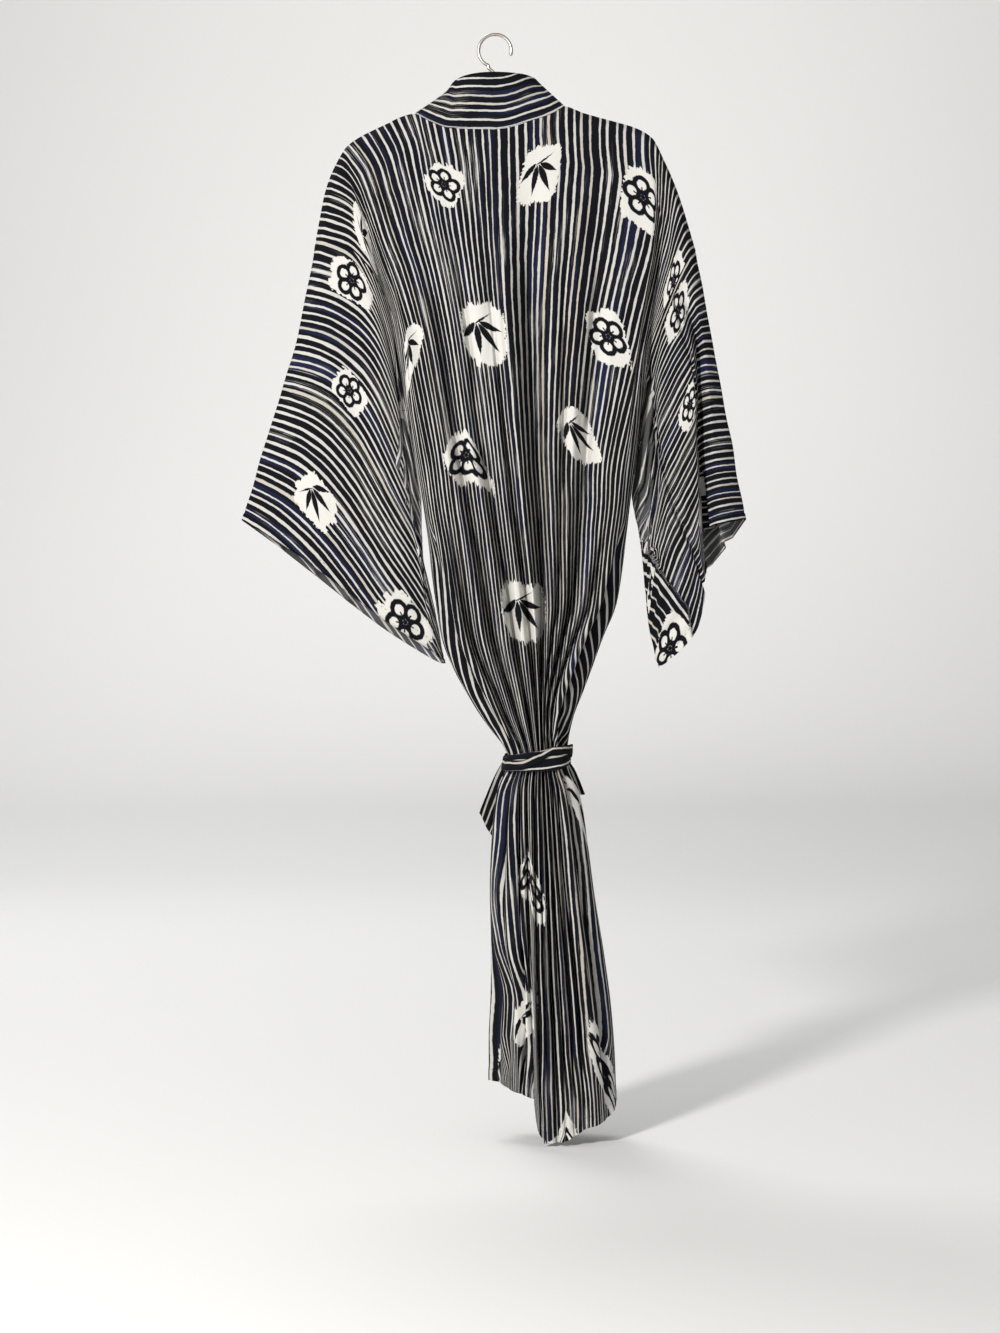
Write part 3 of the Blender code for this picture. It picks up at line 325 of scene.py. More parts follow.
# Level sections of the tied robe: height, left and right edge, centre-back seam, depth of the
# back and of the front from the middle, and how far across the rounding of each side reaches.
SECTIONS = mm(
    # z, left, right, seam, back, front, corner
    (-90, -190, 200, -2, 7.5, 7.5, 2), (-140, -188, 199, -1, 9, 9, 3),
    (-205, -168, 205, 1, 19, 18, 7), (-267, -150, 204, 3, 26, 25, 10),
    (-367, -124, 193, 10, 34, 32, 13), (-492, -106, 180, 21, 40, 38, 16),
    (-592, -89, 168, 31, 45, 42, 20), (-705, -74, 153, 43, 48, 44, 28),
    (-762, -64, 131, 48, 46, 43, 32), (-805, -44, 116, 51, 42, 40, 34),
    (-855, -14, 97, 54, 36, 35, 26), (-886, 10, 91, 55, 31.5, 31, 18),
    (-901, 17, 90, 56, 30, 30, 16), (-918, 14, 93, 56, 32, 32, 18), (-940, 4, 104, 56, 37, 37, 24),
    (-980, -2, 112, 57, 43, 42, 30), (-1050, -6, 121, 59, 49, 46, 34),
    (-1180, -7, 141, 62, 57, 51, 38), (-1255, -10, 149, 65, 61, 54, 40),
    (-1380, -8, 153, 68, 64, 56, 40))

TOP_Z, FOOT_Z = SECTIONS[[0, -1], 0]

# Top edge of the back, over the hanger and round the nape.
SHOULDER = mm(
    # x, z
    (-190, -142), (-170, -127), (-144, -114), (-100, -97), (-92, -103), (-80, -108.5), (-56, -117),
    (0, -118), (50, -106), (79, -94.5), (87, -88), (110, -96), (131, -102), (160, -110),
    (181, -117), (200, -130))
SIDES = ((-1, "left"), (1, "right"))
NECK_X, NECK_Z = {-1: -0.1, 1: 0.087}, -0.1
RIDGE = 0.016  # height over which the cloth rounds the top of the hanger
YOKE = 0.07  # length of the shoulder rows between the neck and the hanger's end

# Cloth past the end of the hanger: fold along its top, a bend, and the height where it drops
# into the valley beside the body, at three distances along the shoulder.
WING = {
    -1: mm(
        # u, fold x, fold z, bend x, bend z, lip z
        (200, -190, -142, -189, -142, -143), (260, -211, -190, -186, -197, -212),
        (320, -224, -255, -182, -268, -295)),
    1: mm(
        (200, 200, -131, 200, -131, -134), (260, 228, -194, 226, -198, -255),
        (320, 251, -269, 244, -276, -350))}
WING_DEPTH = 0.018  # half thickness of the hanging sleeve
LIP = 0.011  # radius at which it rolls into the valley
LIP_GAP = 0.001  # width of the valley's floor
VALLEY_FLOOR = 0.004  # distance of the valley's floor from the middle plane
VALLEY_SHUT = 0.0005  # the same at the foot of the armhole

# Folds that run down the back: place across the half back at chest, waist and hem (- left,
# + right), half width, and depth at chest, waist and hem.
BACK_FOLDS = np.array((
    # chest  waist   hem    width  d chest d waist d hem
    (-0.86, -0.86, -0.88, 0.11, 0.0, 0.014, 0.01),
    (-0.64, -0.64, -0.66, 0.1, 0.002, 0.018, 0.012),
    (-0.455, -0.42, -0.43, 0.095, 0.009, 0.02, 0.008),
    (-0.26, -0.2, -0.22, 0.085, 0.009, 0.02, 0.01),
    (-0.07, -0.03, -0.04, 0.07, 0.003, 0.012, 0.003),
    (0.14, 0.135, 0.13, 0.105, 0.03, 0.03, 0.016),
    (0.31, 0.29, 0.3, 0.07, 0.004, 0.014, 0.005),
    (0.465, 0.45, 0.47, 0.1, 0.013, 0.022, 0.008),
    (0.65, 0.64, 0.65, 0.095, 0.002, 0.016, 0.01),
    (0.86, 0.85, 0.86, 0.11, 0.0, 0.014, 0.008)))
FRONT_FOLDS = np.array((
    (-0.86, -0.86, -0.86, 0.11, 0.0, 0.008, 0.006),
    (-0.64, -0.62, -0.64, 0.1, 0.003, 0.005, 0.004),
    (-0.5, -0.5, -0.5, 0.075, 0.003, 0.004, 0.004),
    (-0.37, -0.37, -0.36, 0.075, 0.003, 0.004, 0.004),
    (-0.23, -0.235, -0.22, 0.075, 0.003, 0.004, 0.003),
    (-0.09, -0.09, -0.06, 0.08, 0.0015, 0.0012, 0.0012),
    (0.08, 0.09, 0.11, 0.08, 0.0015, 0.0012, 0.0012),
    (0.27, 0.26, 0.28, 0.09, 0.0015, 0.0016, 0.0012),
    (0.46, 0.44, 0.45, 0.09, 0.003, 0.004, 0.003),
    (0.65, 0.63, 0.64, 0.095, 0.003, 0.005, 0.003),
    (0.86, 0.85, 0.86, 0.11, 0.0, 0.008, 0.006)))
FOLD_HEIGHTS = (-1.4, -1.12, -0.97, -0.75, -0.47, -0.17)
SIDE_FOLDS_BELOW = -0.6  # folds on the rounded sides start under the sleeve

# The left quarter of the skirt's back hangs behind the rest, along a slanting folded edge.
STEP_TOP, STEP_FOOT = -1.1, -1.372
STEP_PLACE_TOP, STEP_PLACE_FOOT = -0.95, -0.27
STEP_DEPTH = 0.017
STEP_WIDTH = 0.3

# Hem of the back, by place across (- left, + right).
BACK_HEM = np.array(((-1.0, -1.308), (-0.62, -1.316), (-0.4, -1.322), (-0.27, -1.362),
                     (-0.16, -1.372), (0.2, -1.371), (0.6, -1.358), (0.86, -1.345), (1.0, -1.33)))

DEEPEST = 3600  # a fold's depth stays under this times its width squared
TUCKS_FROM = -0.22  # the cloth over the shoulders has no tucks
FULL_TUCK = 0.003  # a fold this deep carries a whole tuck
TUCK_REACH = 0.36  # half width of the tuck at the foot of a fold, as a share of the fold's
CALM_BELOW = -1.19  # behind, the folds open out from here down to the hem
CALM_OVER = 0.13  # height over which they do
CALM_HEM = 0.65  # share of their depth that the folds lose there
CALM_TUCKS = 0.93  # share that the tucks lose
SIDE_TUCKS = 0.72  # depth of the tucks on the rounded sides, as a share of the others
LEFT_SIDE_CALM = -0.99  # the left edge of the skirt lies smooth from here down
SPREAD = 0.95  # length of the gathered cloth, as a share of what the cut gives
TRIAL_TUCK = 0.004  # tuck that shows how much cloth the tucks take up at a height
TABLE_Z = np.arange(-0.09, -1.39, -0.005)
TABLE_PLACE = np.linspace(-1, 1, 801)


def section(z):
    """Left, right, seam, back, front and corner at a height."""
    return row_at(SECTIONS, max(min(z, TOP_Z), FOOT_Z))


def half_section(side, face, z):
    """Outer edge, seam, depth and corner of one quarter of a level section."""
    left, right, seam, back, front, corner = section(z)
    return left if side < 0 else right, seam, back if face < 0 else front, corner


def half_loop(z):
    """Length of cloth from the middle to one side at each height."""
    rows = curve(np.clip(z, FOOT_Z, TOP_Z), SECTIONS[:, 0], SECTIONS[:, 1:])
    left, right, _, back, _, corner = rows.T
    return (right - left) / 2 - corner + (corner + back) * 0.8


def folds(face, place, z, tuck=0.0):
    """How far the folds draw the cloth in, with a narrow tuck at the foot of each fold."""
    place, z, tuck = np.broadcast_arrays(np.asarray(place, float), z, tuck)
    shape = place.shape
    place, z, tuck = place.ravel(), z.ravel(), tuck.ravel()
    drawn = np.zeros(len(z))
    loop = half_loop(z)
    table = BACK_FOLDS if face < 0 else FRONT_FOLDS
    for chest, waist, hem, width, d_chest, d_waist, d_hem in table:
        middle = curve(z, FOLD_HEIGHTS, (hem, hem, waist, waist, chest, chest))
        depth = curve(z, FOLD_HEIGHTS, (d_hem, d_hem, d_hem, d_waist, d_chest, 0))
        depth = np.minimum(depth, DEEPEST * (2 * width * loop / (2 * math.pi)) ** 2)
        side_fold = np.abs(middle) > STRAIGHT - width
        depth = np.where(side_fold, depth * ease((SIDE_FOLDS_BELOW - z) / 0.1), depth)
        if face < 0:
            depth = depth * (1 - CALM_HEM * ease((CALM_BELOW - z) / CALM_OVER))
        reach = np.clip(np.abs(place - middle) / width, 0, 1)
        drawn += depth * np.cos(math.pi / 2 * reach) ** 2
        share = np.where(side_fold, SIDE_TUCKS, 1.0) * np.minimum(depth / FULL_TUCK, 1)
        if face < 0 and chest < -0.8:
            share = share * (1 - ease((LEFT_SIDE_CALM - z) / 0.12))
        drawn += tuck * share * (1 - ease(reach / TUCK_REACH))
    free = (np.abs(place) <= STRAIGHT) | (z < ARMHOLE_Z)
    return (drawn * free).reshape(shape)


def folded_row(face, z, tuck):
    """Run of the folded cloth along a level section, from end to end."""
    left, right, seam, back, front, corner = section(z)
    side = np.where(TABLE_PLACE < 0, -1.0, 1.0)
    away = np.abs(TABLE_PLACE)
    turn = np.clip((away - STRAIGHT) / (1 - STRAIGHT), 0, 1) * math.pi / 2
    lip = np.where(TABLE_PLACE < 0, left, right) - side * corner
    drawn = folds(face, TABLE_PLACE, z, tuck)
    x = seam + (lip - seam) * np.minimum(away / STRAIGHT, 1)
    x = x + side * (corner - drawn) * np.sin(turn)
    y = ((back if face < 0 else front) - drawn) * np.cos(turn)
    return np.concatenate(((0,), np.cumsum(np.hypot(np.diff(x), np.diff(y)))))


def shoulder_u(place):
    """Distance along the shoulder, past the end of the hanger, at a place across."""
    return HANGER_U + (ARMHOLE_U - HANGER_U) * (place - STRAIGHT) / (1 - STRAIGHT)


def cloth_tables(face):
    """For each height, the depth of the tucks, and where the cloth lies at each place across."""
    tucks, table = [], []
    middle = len(TABLE_PLACE) // 2
    lip_at = int(round((1 - STRAIGHT) / 2 * (len(TABLE_PLACE) - 1)))
    for z in TABLE_Z:
        down = float(ease((ARMHOLE_Z - z) / 0.12))
        deepest = 0.8 * half_section(1, face, z)[2]
        if face < 0:
            deepest *= 1 - CALM_TUCKS * float(ease((CALM_BELOW - z) / CALM_OVER))
        run = folded_row(face, z, 0.0)
        slack = (1 - down) * max(2 * HANGER_U * SPREAD - (run[-1 - lip_at] - run[lip_at]), 0)
        slack = slack * ease((TUCKS_FROM - z) / 0.2)
        slack = slack + down * max(2 * ARMHOLE_U * SPREAD - run[-1], 0)
        probe = folded_row(face, z, TRIAL_TUCK)[-1] - run[-1]
        tuck = min(TRIAL_TUCK * slack / max(probe, 1e-4), deepest)
        run = folded_row(face, z, tuck)
        tucks.append(tuck)
        away = np.abs(run - run[middle])
        place = np.abs(TABLE_PLACE)
        row = np.zeros(len(run))
        for half, sign in ((slice(middle, None), 1), (slice(middle, None, -1), -1)):
            reach = away[half]
            low = reach * ARMHOLE_U / reach[-1]
            lip = np.searchsorted(place[half], STRAIGHT)
            high = np.where(place[half] > STRAIGHT, shoulder_u(place[half]),
                            reach / reach[lip] * HANGER_U)
            row[half] = sign * (high * (1 - down) + low * down)
        table.append(row)
    return np.array(tucks), np.array(table)


def tuck_at(face, z):
    return np.interp(-np.asarray(z), -TABLE_Z, CLOTH_TABLES[face][0])


def across(face, place, z):
    """Distance of the cloth from its middle at any place and height."""
    table = CLOTH_TABLES[face][1]
    row = np.clip((TABLE_Z[0] - z) / (TABLE_Z[0] - TABLE_Z[1]), 0, len(TABLE_Z) - 1.001)
    column = np.clip((place + 1) / 2, 0, 1) * (len(TABLE_PLACE) - 1)
    column = np.minimum(column, len(TABLE_PLACE) - 1.001)
    i, j = row.astype(int), column.astype(int)
    a, b = row - i, column - j
    above = table[i, j] * (1 - b) + table[i, j + 1] * b
    below = table[i + 1, j] * (1 - b) + table[i + 1, j + 1] * b
    return above * (1 - a) + below * a


CLOTH_TABLES = {-1: cloth_tables(-1), 1: cloth_tables(1)}


def step_depth(place, z):
    """Set-back of the left of the skirt behind its slanting folded edge."""
    if z > STEP_TOP:
        return 0.0
    down = (STEP_TOP - z) / (STEP_TOP - STEP_FOOT)
    edge = STEP_PLACE_TOP + (STEP_PLACE_FOOT - STEP_PLACE_TOP) * down
    return STEP_DEPTH * ease(down * 3) * ease((edge - place) / STEP_WIDTH + 0.5)


def arrival(side, z):
    """Share of the shoulder's overhang whose lines have reached the valley at a height."""
    lips = WING[side][:, 5]
    if z >= lips[0]:
        return 0.0
    if z > lips[-1]:
        share = (WING[side][:, 0] - HANGER_U) / (ARMHOLE_U - HANGER_U)
        return float(curve(z, lips, share)[0])
    return 1.0 + ease((lips[-1] - z) / 0.06)


def valley_floor(side, z, depth):
    """Distance of the valley's floor from the middle plane."""
    if z <= ARMHOLE_Z:
        return VALLEY_SHUT
    open_share = ease((WING[side][0, 5] - z) / 0.16)
    floor = VALLEY_SHUT + (VALLEY_FLOOR - VALLEY_SHUT) * ease((z - ARMHOLE_Z) / 0.06)
    return depth * (1 - open_share) + floor * open_share


def wing_lip(side, face, z):
    """Where the hanging sleeve starts to roll into the valley."""
    edge, _, depth, _ = half_section(side, face, z)
    grow = ease((WING[side][0, 5] - z) / 0.12)
    return edge, depth + (WING_DEPTH - depth) * grow, LIP * grow


def body_point(side, face, place, z, level=0.0):
    """A point of the body before its folds: place is 0 at the middle and 1 at the side."""
    edge, seam, depth, corner = half_section(side, face, z)
    lip = edge - side * corner
    if place <= STRAIGHT:
        x = seam + (lip - seam) * place / STRAIGHT
        y, normal = face * depth, (0.0, face)
    else:
        share = (place - STRAIGHT) / (1 - STRAIGHT)
        arrived = arrival(side, z)
        turn = min(share / max(arrived, 1e-6), 1.0)
        if arrived >= 2 or z <= ARMHOLE_Z:
            turn = share / 2
        floor = valley_floor(side, z, depth)
        if turn <= 0.5:
            angle = math.pi * turn
            x = lip + side * corner * math.sin(angle)
            y = face * (floor + (depth - floor) * math.cos(angle))
            aside, ahead = math.sin(angle) * (depth - floor), math.cos(angle) * corner
            size = math.hypot(aside, ahead) or 1.0
            normal = (side * aside / size, face * ahead / size)
        else:
            _, lip_y, radius = wing_lip(side, face, z)
            angle = math.pi * (turn - 0.5)
            x = edge + side * (LIP_GAP + radius * (1 - math.cos(angle)))
            y = face * (floor + (lip_y - floor) * math.sin(angle))
            normal = (0.0, face)
    out = level - (step_depth(side * place, z) if face < 0 else 0.0)
    return x + normal[0] * out, y + normal[1] * out, z


def shoulder_z(x):
    return float(row_at(SHOULDER, x))


def wing_path(side, face, u):
    """Line of equal distance from the centre seam, from the top fold into the valley."""
    fold_x, fold_z, bend_x, bend_z, lip_z = row_at(WING[side], u)
    edge, lip_y, radius = wing_lip(side, face, lip_z)
    lip_x = edge + side * (LIP_GAP + radius)
    first = math.hypot(bend_x - fold_x, bend_z - fold_z)
    second = math.hypot(lip_x - bend_x, lip_z - bend_z)
    first, second = max(first, 1e-4), max(second, 1e-4)
    stations = (0.0, first, first + second)
    table = np.array(((fold_x, fold_z), (bend_x, bend_z), (lip_x, lip_z)))
    return stations, table, lip_y


def rounding(distance):
    """Rise of the cloth from the top of the hanger, from 0 to 1."""
    return math.sqrt(1 - (1 - min(distance / RIDGE, 1.0)) ** 2)


def column_point(side, face, place, distance):
    """A point at a distance down a panel's line, from the top edge of the panel."""
    if place <= STRAIGHT:
        x = NECK_X[side]
        for _ in range(4):
            x = body_point(side, face, place, shoulder_z(x))[0]
        x, y, z = body_point(side, face, place, shoulder_z(x) - distance)
        return x, y * ridge(side, face, x, distance), z
    u = shoulder_u(place)
    stations, table, lip_y = wing_path(side, face, u)
    if distance <= stations[-1]:
        x, z = curve(distance, stations, table)[0]
        return x, face * lip_y * rounding(distance), z
    return body_point(side, face, place, table[-1, 1] - (distance - stations[-1]))


def ridge(side, face, x, distance):
    """Rounding over the hanger; behind the nape the back stands clear of it."""
    rise = max(rounding(distance), 0.03)
    if face < 0:
        inside = ease((abs(NECK_X[side]) - abs(x)) / 0.01)
        rise = rise + (1 - rise) * inside
    return rise


def column_start(side, place):
    """Length of a panel's line that the shoulder rows cover."""
    if place <= STRAIGHT:
        return YOKE
    share = (shoulder_u(place) - HANGER_U) / (ARMHOLE_U - HANGER_U)
    return YOKE + (wing_path(side, -1, ARMHOLE_U)[0][-1] - YOKE) * share


def lower_heights(top, hem):
    """Heights of the rows under the shoulder; those below the sash spread down to the hem."""
    stretch = (hem - BELT_Z) / (LOWER_ROWS[-1] - BELT_Z)
    return ([top + (ARMHOLE_Z - top) * row / ARM_ROWS for row in range(1, ARM_ROWS + 1)]
            + [z if z >= BELT_Z else BELT_Z + (z - BELT_Z) * stretch for z in LOWER_ROWS])


def panel_column(side, face, place, hem):
    """All points of one line of a panel, from the shoulder to the hem."""
    points = []
    start = column_start(side, place)
    for row in range(WING_ROWS + 1):
        points.append(column_point(side, face, place, start * row / WING_ROWS))
    for z in lower_heights(points[-1][2], hem):
        level = front_level(side, side * place, z) if face > 0 else 0.0
        points.append(body_point(side, face, place, z, level))
    return points


def grid_normals(points, closed=False):
    """Normal at each point of a grid, from the cells around it."""
    normals = np.zeros_like(points)
    columns = points.shape[1]
    for j in range(columns if closed else columns - 1):
        k = (j + 1) % columns
        cell = np.cross(points[1:, k] - points[:-1, j], points[1:, j] - points[:-1, k])
        for rows in (slice(None, -1), slice(1, None)):
            normals[rows, j] += cell
            normals[rows, k] += cell
    normals /= np.maximum(np.linalg.norm(normals, axis=2, keepdims=True), 1e-12)
    for _ in range(2):
        before, after = np.roll(normals, 1, axis=1), np.roll(normals, -1, axis=1)
        if not closed:
            before[:, 0], after[:, -1] = normals[:, 0], normals[:, -1]
        normals = before + 2 * normals + after
        normals[1:-1] = normals[:-2] + 4 * normals[1:-1] + normals[2:]
        normals /= np.linalg.norm(normals, axis=2, keepdims=True)
    return normals


def finer(values, at, stations=None):
    """The same rows of values read at more places along their first side."""
    stations = np.arange(len(values)) if stations is None else stations
    flat = np.asarray(values).reshape(len(values), -1)
    result = curve(at, stations, flat)
    return result.reshape(len(at), *np.shape(values)[1:])


def finer_grid(low, rows, columns, stations=None):
    """A grid read at more rows and at more columns."""
    return finer(finer(low, rows).swapaxes(0, 1), columns, stations).swapaxes(0, 1)


def level_normals(points, face):
    """Normals of a hanging surface without their upward part, facing back or front."""
    normals = grid_normals(points) * (1, 1, 0)
    normals /= np.maximum(np.linalg.norm(normals, axis=2, keepdims=True), 1e-9)
    return normals if (normals[..., 1] * face).sum() > 0 else -normals


def ripple(u, v, size, stretch, seed):
    """Uneven soft waves from -1 to 1, longer along the cloth than across it."""
    chance = np.random.default_rng(seed)
    total = np.zeros_like(u)
    for _ in range(7):
        angle = chance.uniform(-0.9, 0.9)
        scale = 2 * math.pi / (size * chance.uniform(0.7, 1.6))
        phase = chance.uniform(0, 2 * math.pi)
        total += np.sin(scale * (u * math.cos(angle) + v * math.sin(angle) / stretch) + phase)
    return total / 4


def creases(u, v, table):
    """Soft troughs (depth over 0) and ridges (under 0) along lines drawn on the cloth."""
    total = np.zeros_like(u)
    for u0, v0, u1, v1, width, depth in table:
        run_u, run_v = u1 - u0, v1 - v0
        length = math.hypot(run_u, run_v)
        along = ((u - u0) * run_u + (v - v0) * run_v) / length ** 2
        off = ((u - u0) * run_v - (v - v0) * run_u) / length
        taper = np.cos(np.clip(along * 2 - 1, -1.25, 1.25) * math.pi / 2.5) ** 2
        bow = off + 0.06 * length * np.sin(along * 3.1 + u0 * 40)
        total += depth * taper * np.exp(-(bow / width) ** 2)
    return total


PITCH = 0.01  # one dark band and one white stripe of the print
INK = (0.005, 0.0055, 0.008, 1)
INDIGO = (0.011, 0.014, 0.04, 1)
UNDYED = (0.52, 0.508, 0.475, 1)
PATCH_PALE = (0.63, 0.615, 0.58, 1)
CREAM = (0.43, 0.385, 0.32, 1)
PATCH_WIDE, PATCH_TALL = 0.138, 0.172  # the print's motifs repeat about this far apart
BAMBOO_LEAVES = (
    # root x, y   turn   length width
    (-0.16, -0.52, 0.4, 1.0, 0.15), (-0.2, -0.46, 0.98, 1.42, 0.16),
    (-0.27, -0.44, 1.52, 1.36, 0.15), (-0.34, -0.5, 2.12, 1.05, 0.14))


def leaf(x, y, root_x, root_y, turn, length, width):
    """A pointed bamboo leaf drawn with one stroke of the brush."""
    cos, sin = math.cos(turn), math.sin(turn)
    along = ((x - root_x) * cos + (y - root_y) * sin) / length
    off = ((y - root_y) * cos - (x - root_x) * sin).math("ABSOLUTE")
    inside = along * (1.0 - along) * (4 * width) * (1.35 - along) - off
    return inside.step(-0.012, 0.018)


def printed_cotton(name, fade, shift=0.0, white_share=1.0):
    """Plain-woven cotton with brushed stripes and sprays of leaves and blossom."""
    material, shader, place = new_finish(name, Sheen_Weight=0.004, Sheen_Roughness=0.6)
    shader.inputs["Specular IOR Level"].default_value = 0.04
    cloth = place.node("ShaderNodeUVMap", {"uv_map": "cloth"}, {})
    u = cloth.part(0) + shift
    spot = place.node("ShaderNodeUVMap", {"uv_map": "motif"}, {})
    spot_u, v = spot.part(0) + shift, spot.part(1) + shift
    slow = cloth.scaled(26, 13).noise(1)
    quick = cloth.scaled(190, 75).noise(2)
    wander = (slow - 0.5) * 0.42 + (quick - 0.5) * 0.16
    stripe = u / PITCH + wander
    number = stripe.math("FLOOR")
    within = stripe.math("FRACT")
    one, two, three = number.chance(), number.chance(37.3), number.chance(71.7)
    swell = cloth.scaled(70, 17).noise(2) - 0.5
    half = (one * 0.085 + 0.092 + swell * 0.2) * white_share
    off = (within - 0.5 + (two - 0.5) * 0.22).math("ABSOLUTE")
    edge = off - half + (cloth.scaled(900, 240).noise(3) - 0.5) * 0.07
    white = edge.step(0.035, -0.035)
    hair = cloth.scaled(1250, 11).noise(3, 0.6).step(0.545, 0.62)
    dry = cloth.scaled(24, 9).noise(2).step(0.5, 0.62) * three.step(0.25, 0.6)
    streak = hair * dry * (off.step(0.47, 0.3) * 0.4 + 0.35)

    row = (v / PATCH_TALL).math("FLOOR")
    column = (spot_u / PATCH_WIDE + (row * 0.5).math("FRACT")).math("FLOOR")
    here = column * 7.31 + row * 3.17
    size = here.chance(2.1) * 0.014 + 0.0195
    mid_u = column + 0.5 - (row * 0.5).math("FRACT")
    mid_u = (mid_u + (here.chance(5.3) - 0.5) * 0.36) * PATCH_WIDE
    mid_v = (row + 0.5 + (here.chance(8.7) - 0.5) * 0.3) * PATCH_TALL
    tilt = (here.chance(11.9) - 0.5) * 0.9
    rough = (cloth.scaled(260, 260).noise(2) - 0.5) * 0.0022
    away_u, away_v = spot_u - mid_u + rough, v - mid_v + rough
    cos, sin = tilt.math("COSINE"), tilt.math("SINE")
    x = (away_u * cos + away_v * sin) / size
    y = (away_v * cos - away_u * sin) / size
    ragged = (number.chance(91.1) - 0.5) * 0.3 + (quick - 0.5) * 0.5
    nicks = (cloth.scaled(230, 230).noise(2) - 0.5) * 0.9
    across_it = (x.math("ABSOLUTE") * 1.12 + nicks * 0.5).math("ABSOLUTE").math("POWER", 4.0)
    along_it = (y.math("ABSOLUTE") * 0.84 + ragged * 0.8).math("ABSOLUTE").math("POWER", 4.0)
    patch = (across_it + along_it + nicks * 0.3).step(1.1, 0.94)

    leaves = leaf(x, y, -0.36, -0.4, -0.62, 0.95, 0.05)
    for stroke in BAMBOO_LEAVES:
        leaves = leaves.math("MAXIMUM", leaf(x, y, *stroke))
    low_y = y + 0.05
    radius = (x * x + low_y * low_y).math("SQRT")
    angle = low_y.math("ARCTAN2", x) / (2 * math.pi / 5)
    petal = (angle.math("FRACT") - 0.5) * (2 * math.pi / 5)
    ahead, aside = radius * petal.math("COSINE"), radius * petal.math("SINE")
    ring = ((ahead - 0.5) * (ahead - 0.5) + aside * aside).math("SQRT")
    outline = (ring - 0.31 + nicks * 0.05).math("ABSOLUTE").step(0.125, 0.08)
    thread = aside.math("ABSOLUTE").step(0.045, 0.02)
    thread = thread * ahead.step(0.16, 0.2) * ahead.step(0.44, 0.4)
    blossom = outline.math("MAXIMUM", thread).math("MAXIMUM", radius.step(0.13, 0.09))
    which = here.chance(17.7).step(0.59, 0.61)
    motif = leaves * (1.0 - which) + blossom * which

    dark = three * 0.8 + (cloth.scaled(40, 8).noise(2) - 0.5) * 1.2
    dark = dark.step(0.45, 0.95).mixed(INK, INDIGO)
    pale = (two.step(0.62, 1.0) * 0.75).mixed(UNDYED, CREAM)
    ground = white.math("MAXIMUM", streak).mixed(dark, pale)
    printed = patch.mixed(ground, motif.mixed(PATCH_PALE, INK))
    thread_tone = (cloth.scaled(2300, 2300).noise(2).step(0.35, 0.7) * 0.007 + fade).mixed(
        printed, (0.42, 0.42, 0.43, 1))
    feed(shader, "Base Color", thread_tone)
    weave = cloth.scaled(1900, 3300).noise(1) + cloth.scaled(3300, 1900).noise(1)
    soft = cloth.scaled(95, 60).noise(3)
    feed(shader, "Roughness", weave * 0.08 + 0.8)
    feed(shader, "Normal", bump(weave * 0.12 + soft, 0.32, 0.0016))
    return material


right_side = printed_cotton("printed_cotton", 0.0)
reverse = printed_cotton("printed_cotton_reverse", 0.16)
SHELL = 0.0007  # thickness of one layer of the cotton


def index_uv(faces, flat, closed):
    """The place in the print of every corner, from a grid of places."""
    columns = flat.shape[1]
    own = flat[:, :-1] if closed else flat
    count = own.shape[0] * own.shape[1]
    corner = np.concatenate(faces) % count
    places = own.reshape(-1, 2)[corner]
    if closed:
        seam = corner % (columns - 1) == 0
        wraps = (corner % (columns - 1)).max(axis=1, keepdims=True) == columns - 2
        places = np.where((seam & wraps)[..., None], flat[:, -1][corner // (columns - 1)], places)
    return places


def sew(name, points, uv, face, closed=False, thickness=SHELL, looks=(right_side, reverse),
        motif=None):
    """One piece of cloth that takes up a CAD piece: its right side, its reverse, and its edges."""
    rows, columns = points.shape[:2]
    normals = grid_normals(points, closed)
    towards = points - points.mean(axis=1, keepdims=True) if closed else face
    turned = (normals * towards).sum() < 0
    normals = -normals if turned else normals
    both = np.concatenate((points.reshape(-1, 3), (points - normals * thickness).reshape(-1, 3)))
    index = np.arange(rows * columns).reshape(rows, columns)
    if closed:
        index = np.concatenate((index, index[:, :1]), axis=1)
    under = index + rows * columns

    def corners(grid):
        cells = (grid[:-1, :-1], grid[:-1, 1:], grid[1:, 1:], grid[1:, :-1])
        return np.stack(cells, axis=2).reshape(-1, 4, *grid.shape[2:])

    def rim(one, two, uv_line):
        cells = np.stack((one[:-1], two[:-1], two[1:], one[1:]), 1)
        return cells, np.stack((uv_line[:-1], uv_line[:-1], uv_line[1:], uv_line[1:]), 1)

    order = (3, 2, 1, 0) if turned else (0, 1, 2, 3)
    faces = [corners(index)[:, order[::-1]], corners(under)[:, order]]
    places = [corners(uv)[:, order[::-1]], corners(uv)[:, order]]
    edges = [rim(index[0], under[0], uv[0]), rim(under[-1], index[-1], uv[-1])]
    if not closed:
        edges += [rim(under[:, 0], index[:, 0], uv[:, 0]),
                  rim(index[:, -1], under[:, -1], uv[:, -1])]
    for cells, spots in edges:
        faces.append(cells[:, order])
        places.append(spots[:, order])
    outer = len(faces[0])
    spots = index_uv(faces, uv if motif is None else motif, closed)
    faces, places = np.concatenate(faces), np.concatenate(places)
    slots = np.zeros(len(faces), np.int32)
    slots[outer:2 * outer] = 1
    piece = lay_mesh(name, both, faces, looks, slots, cloth=places, motif=spots)
    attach(piece, "root")
    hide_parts(name.replace("cloth_", ""))
    return piece


def down_the_cloth(points):
    """Distance down each column of a grid."""
    step = np.linalg.norm(np.diff(points, axis=0), axis=2)
    return np.concatenate((np.zeros((1, points.shape[1])), np.cumsum(step, axis=0)))


def across_the_cloth(points):
    """Distance across each row of a grid."""
    return down_the_cloth(points.transpose(1, 0, 2)).T


def turned_hem(v, end, depth=0.014, swell=0.0007):
    """How far a turned-up hem stands proud, with the dip of its stitching."""
    up = end - v
    return swell * ease((depth - up) / 0.002) - 0.0006 * np.exp(-((up - depth) / 0.0012) ** 2)


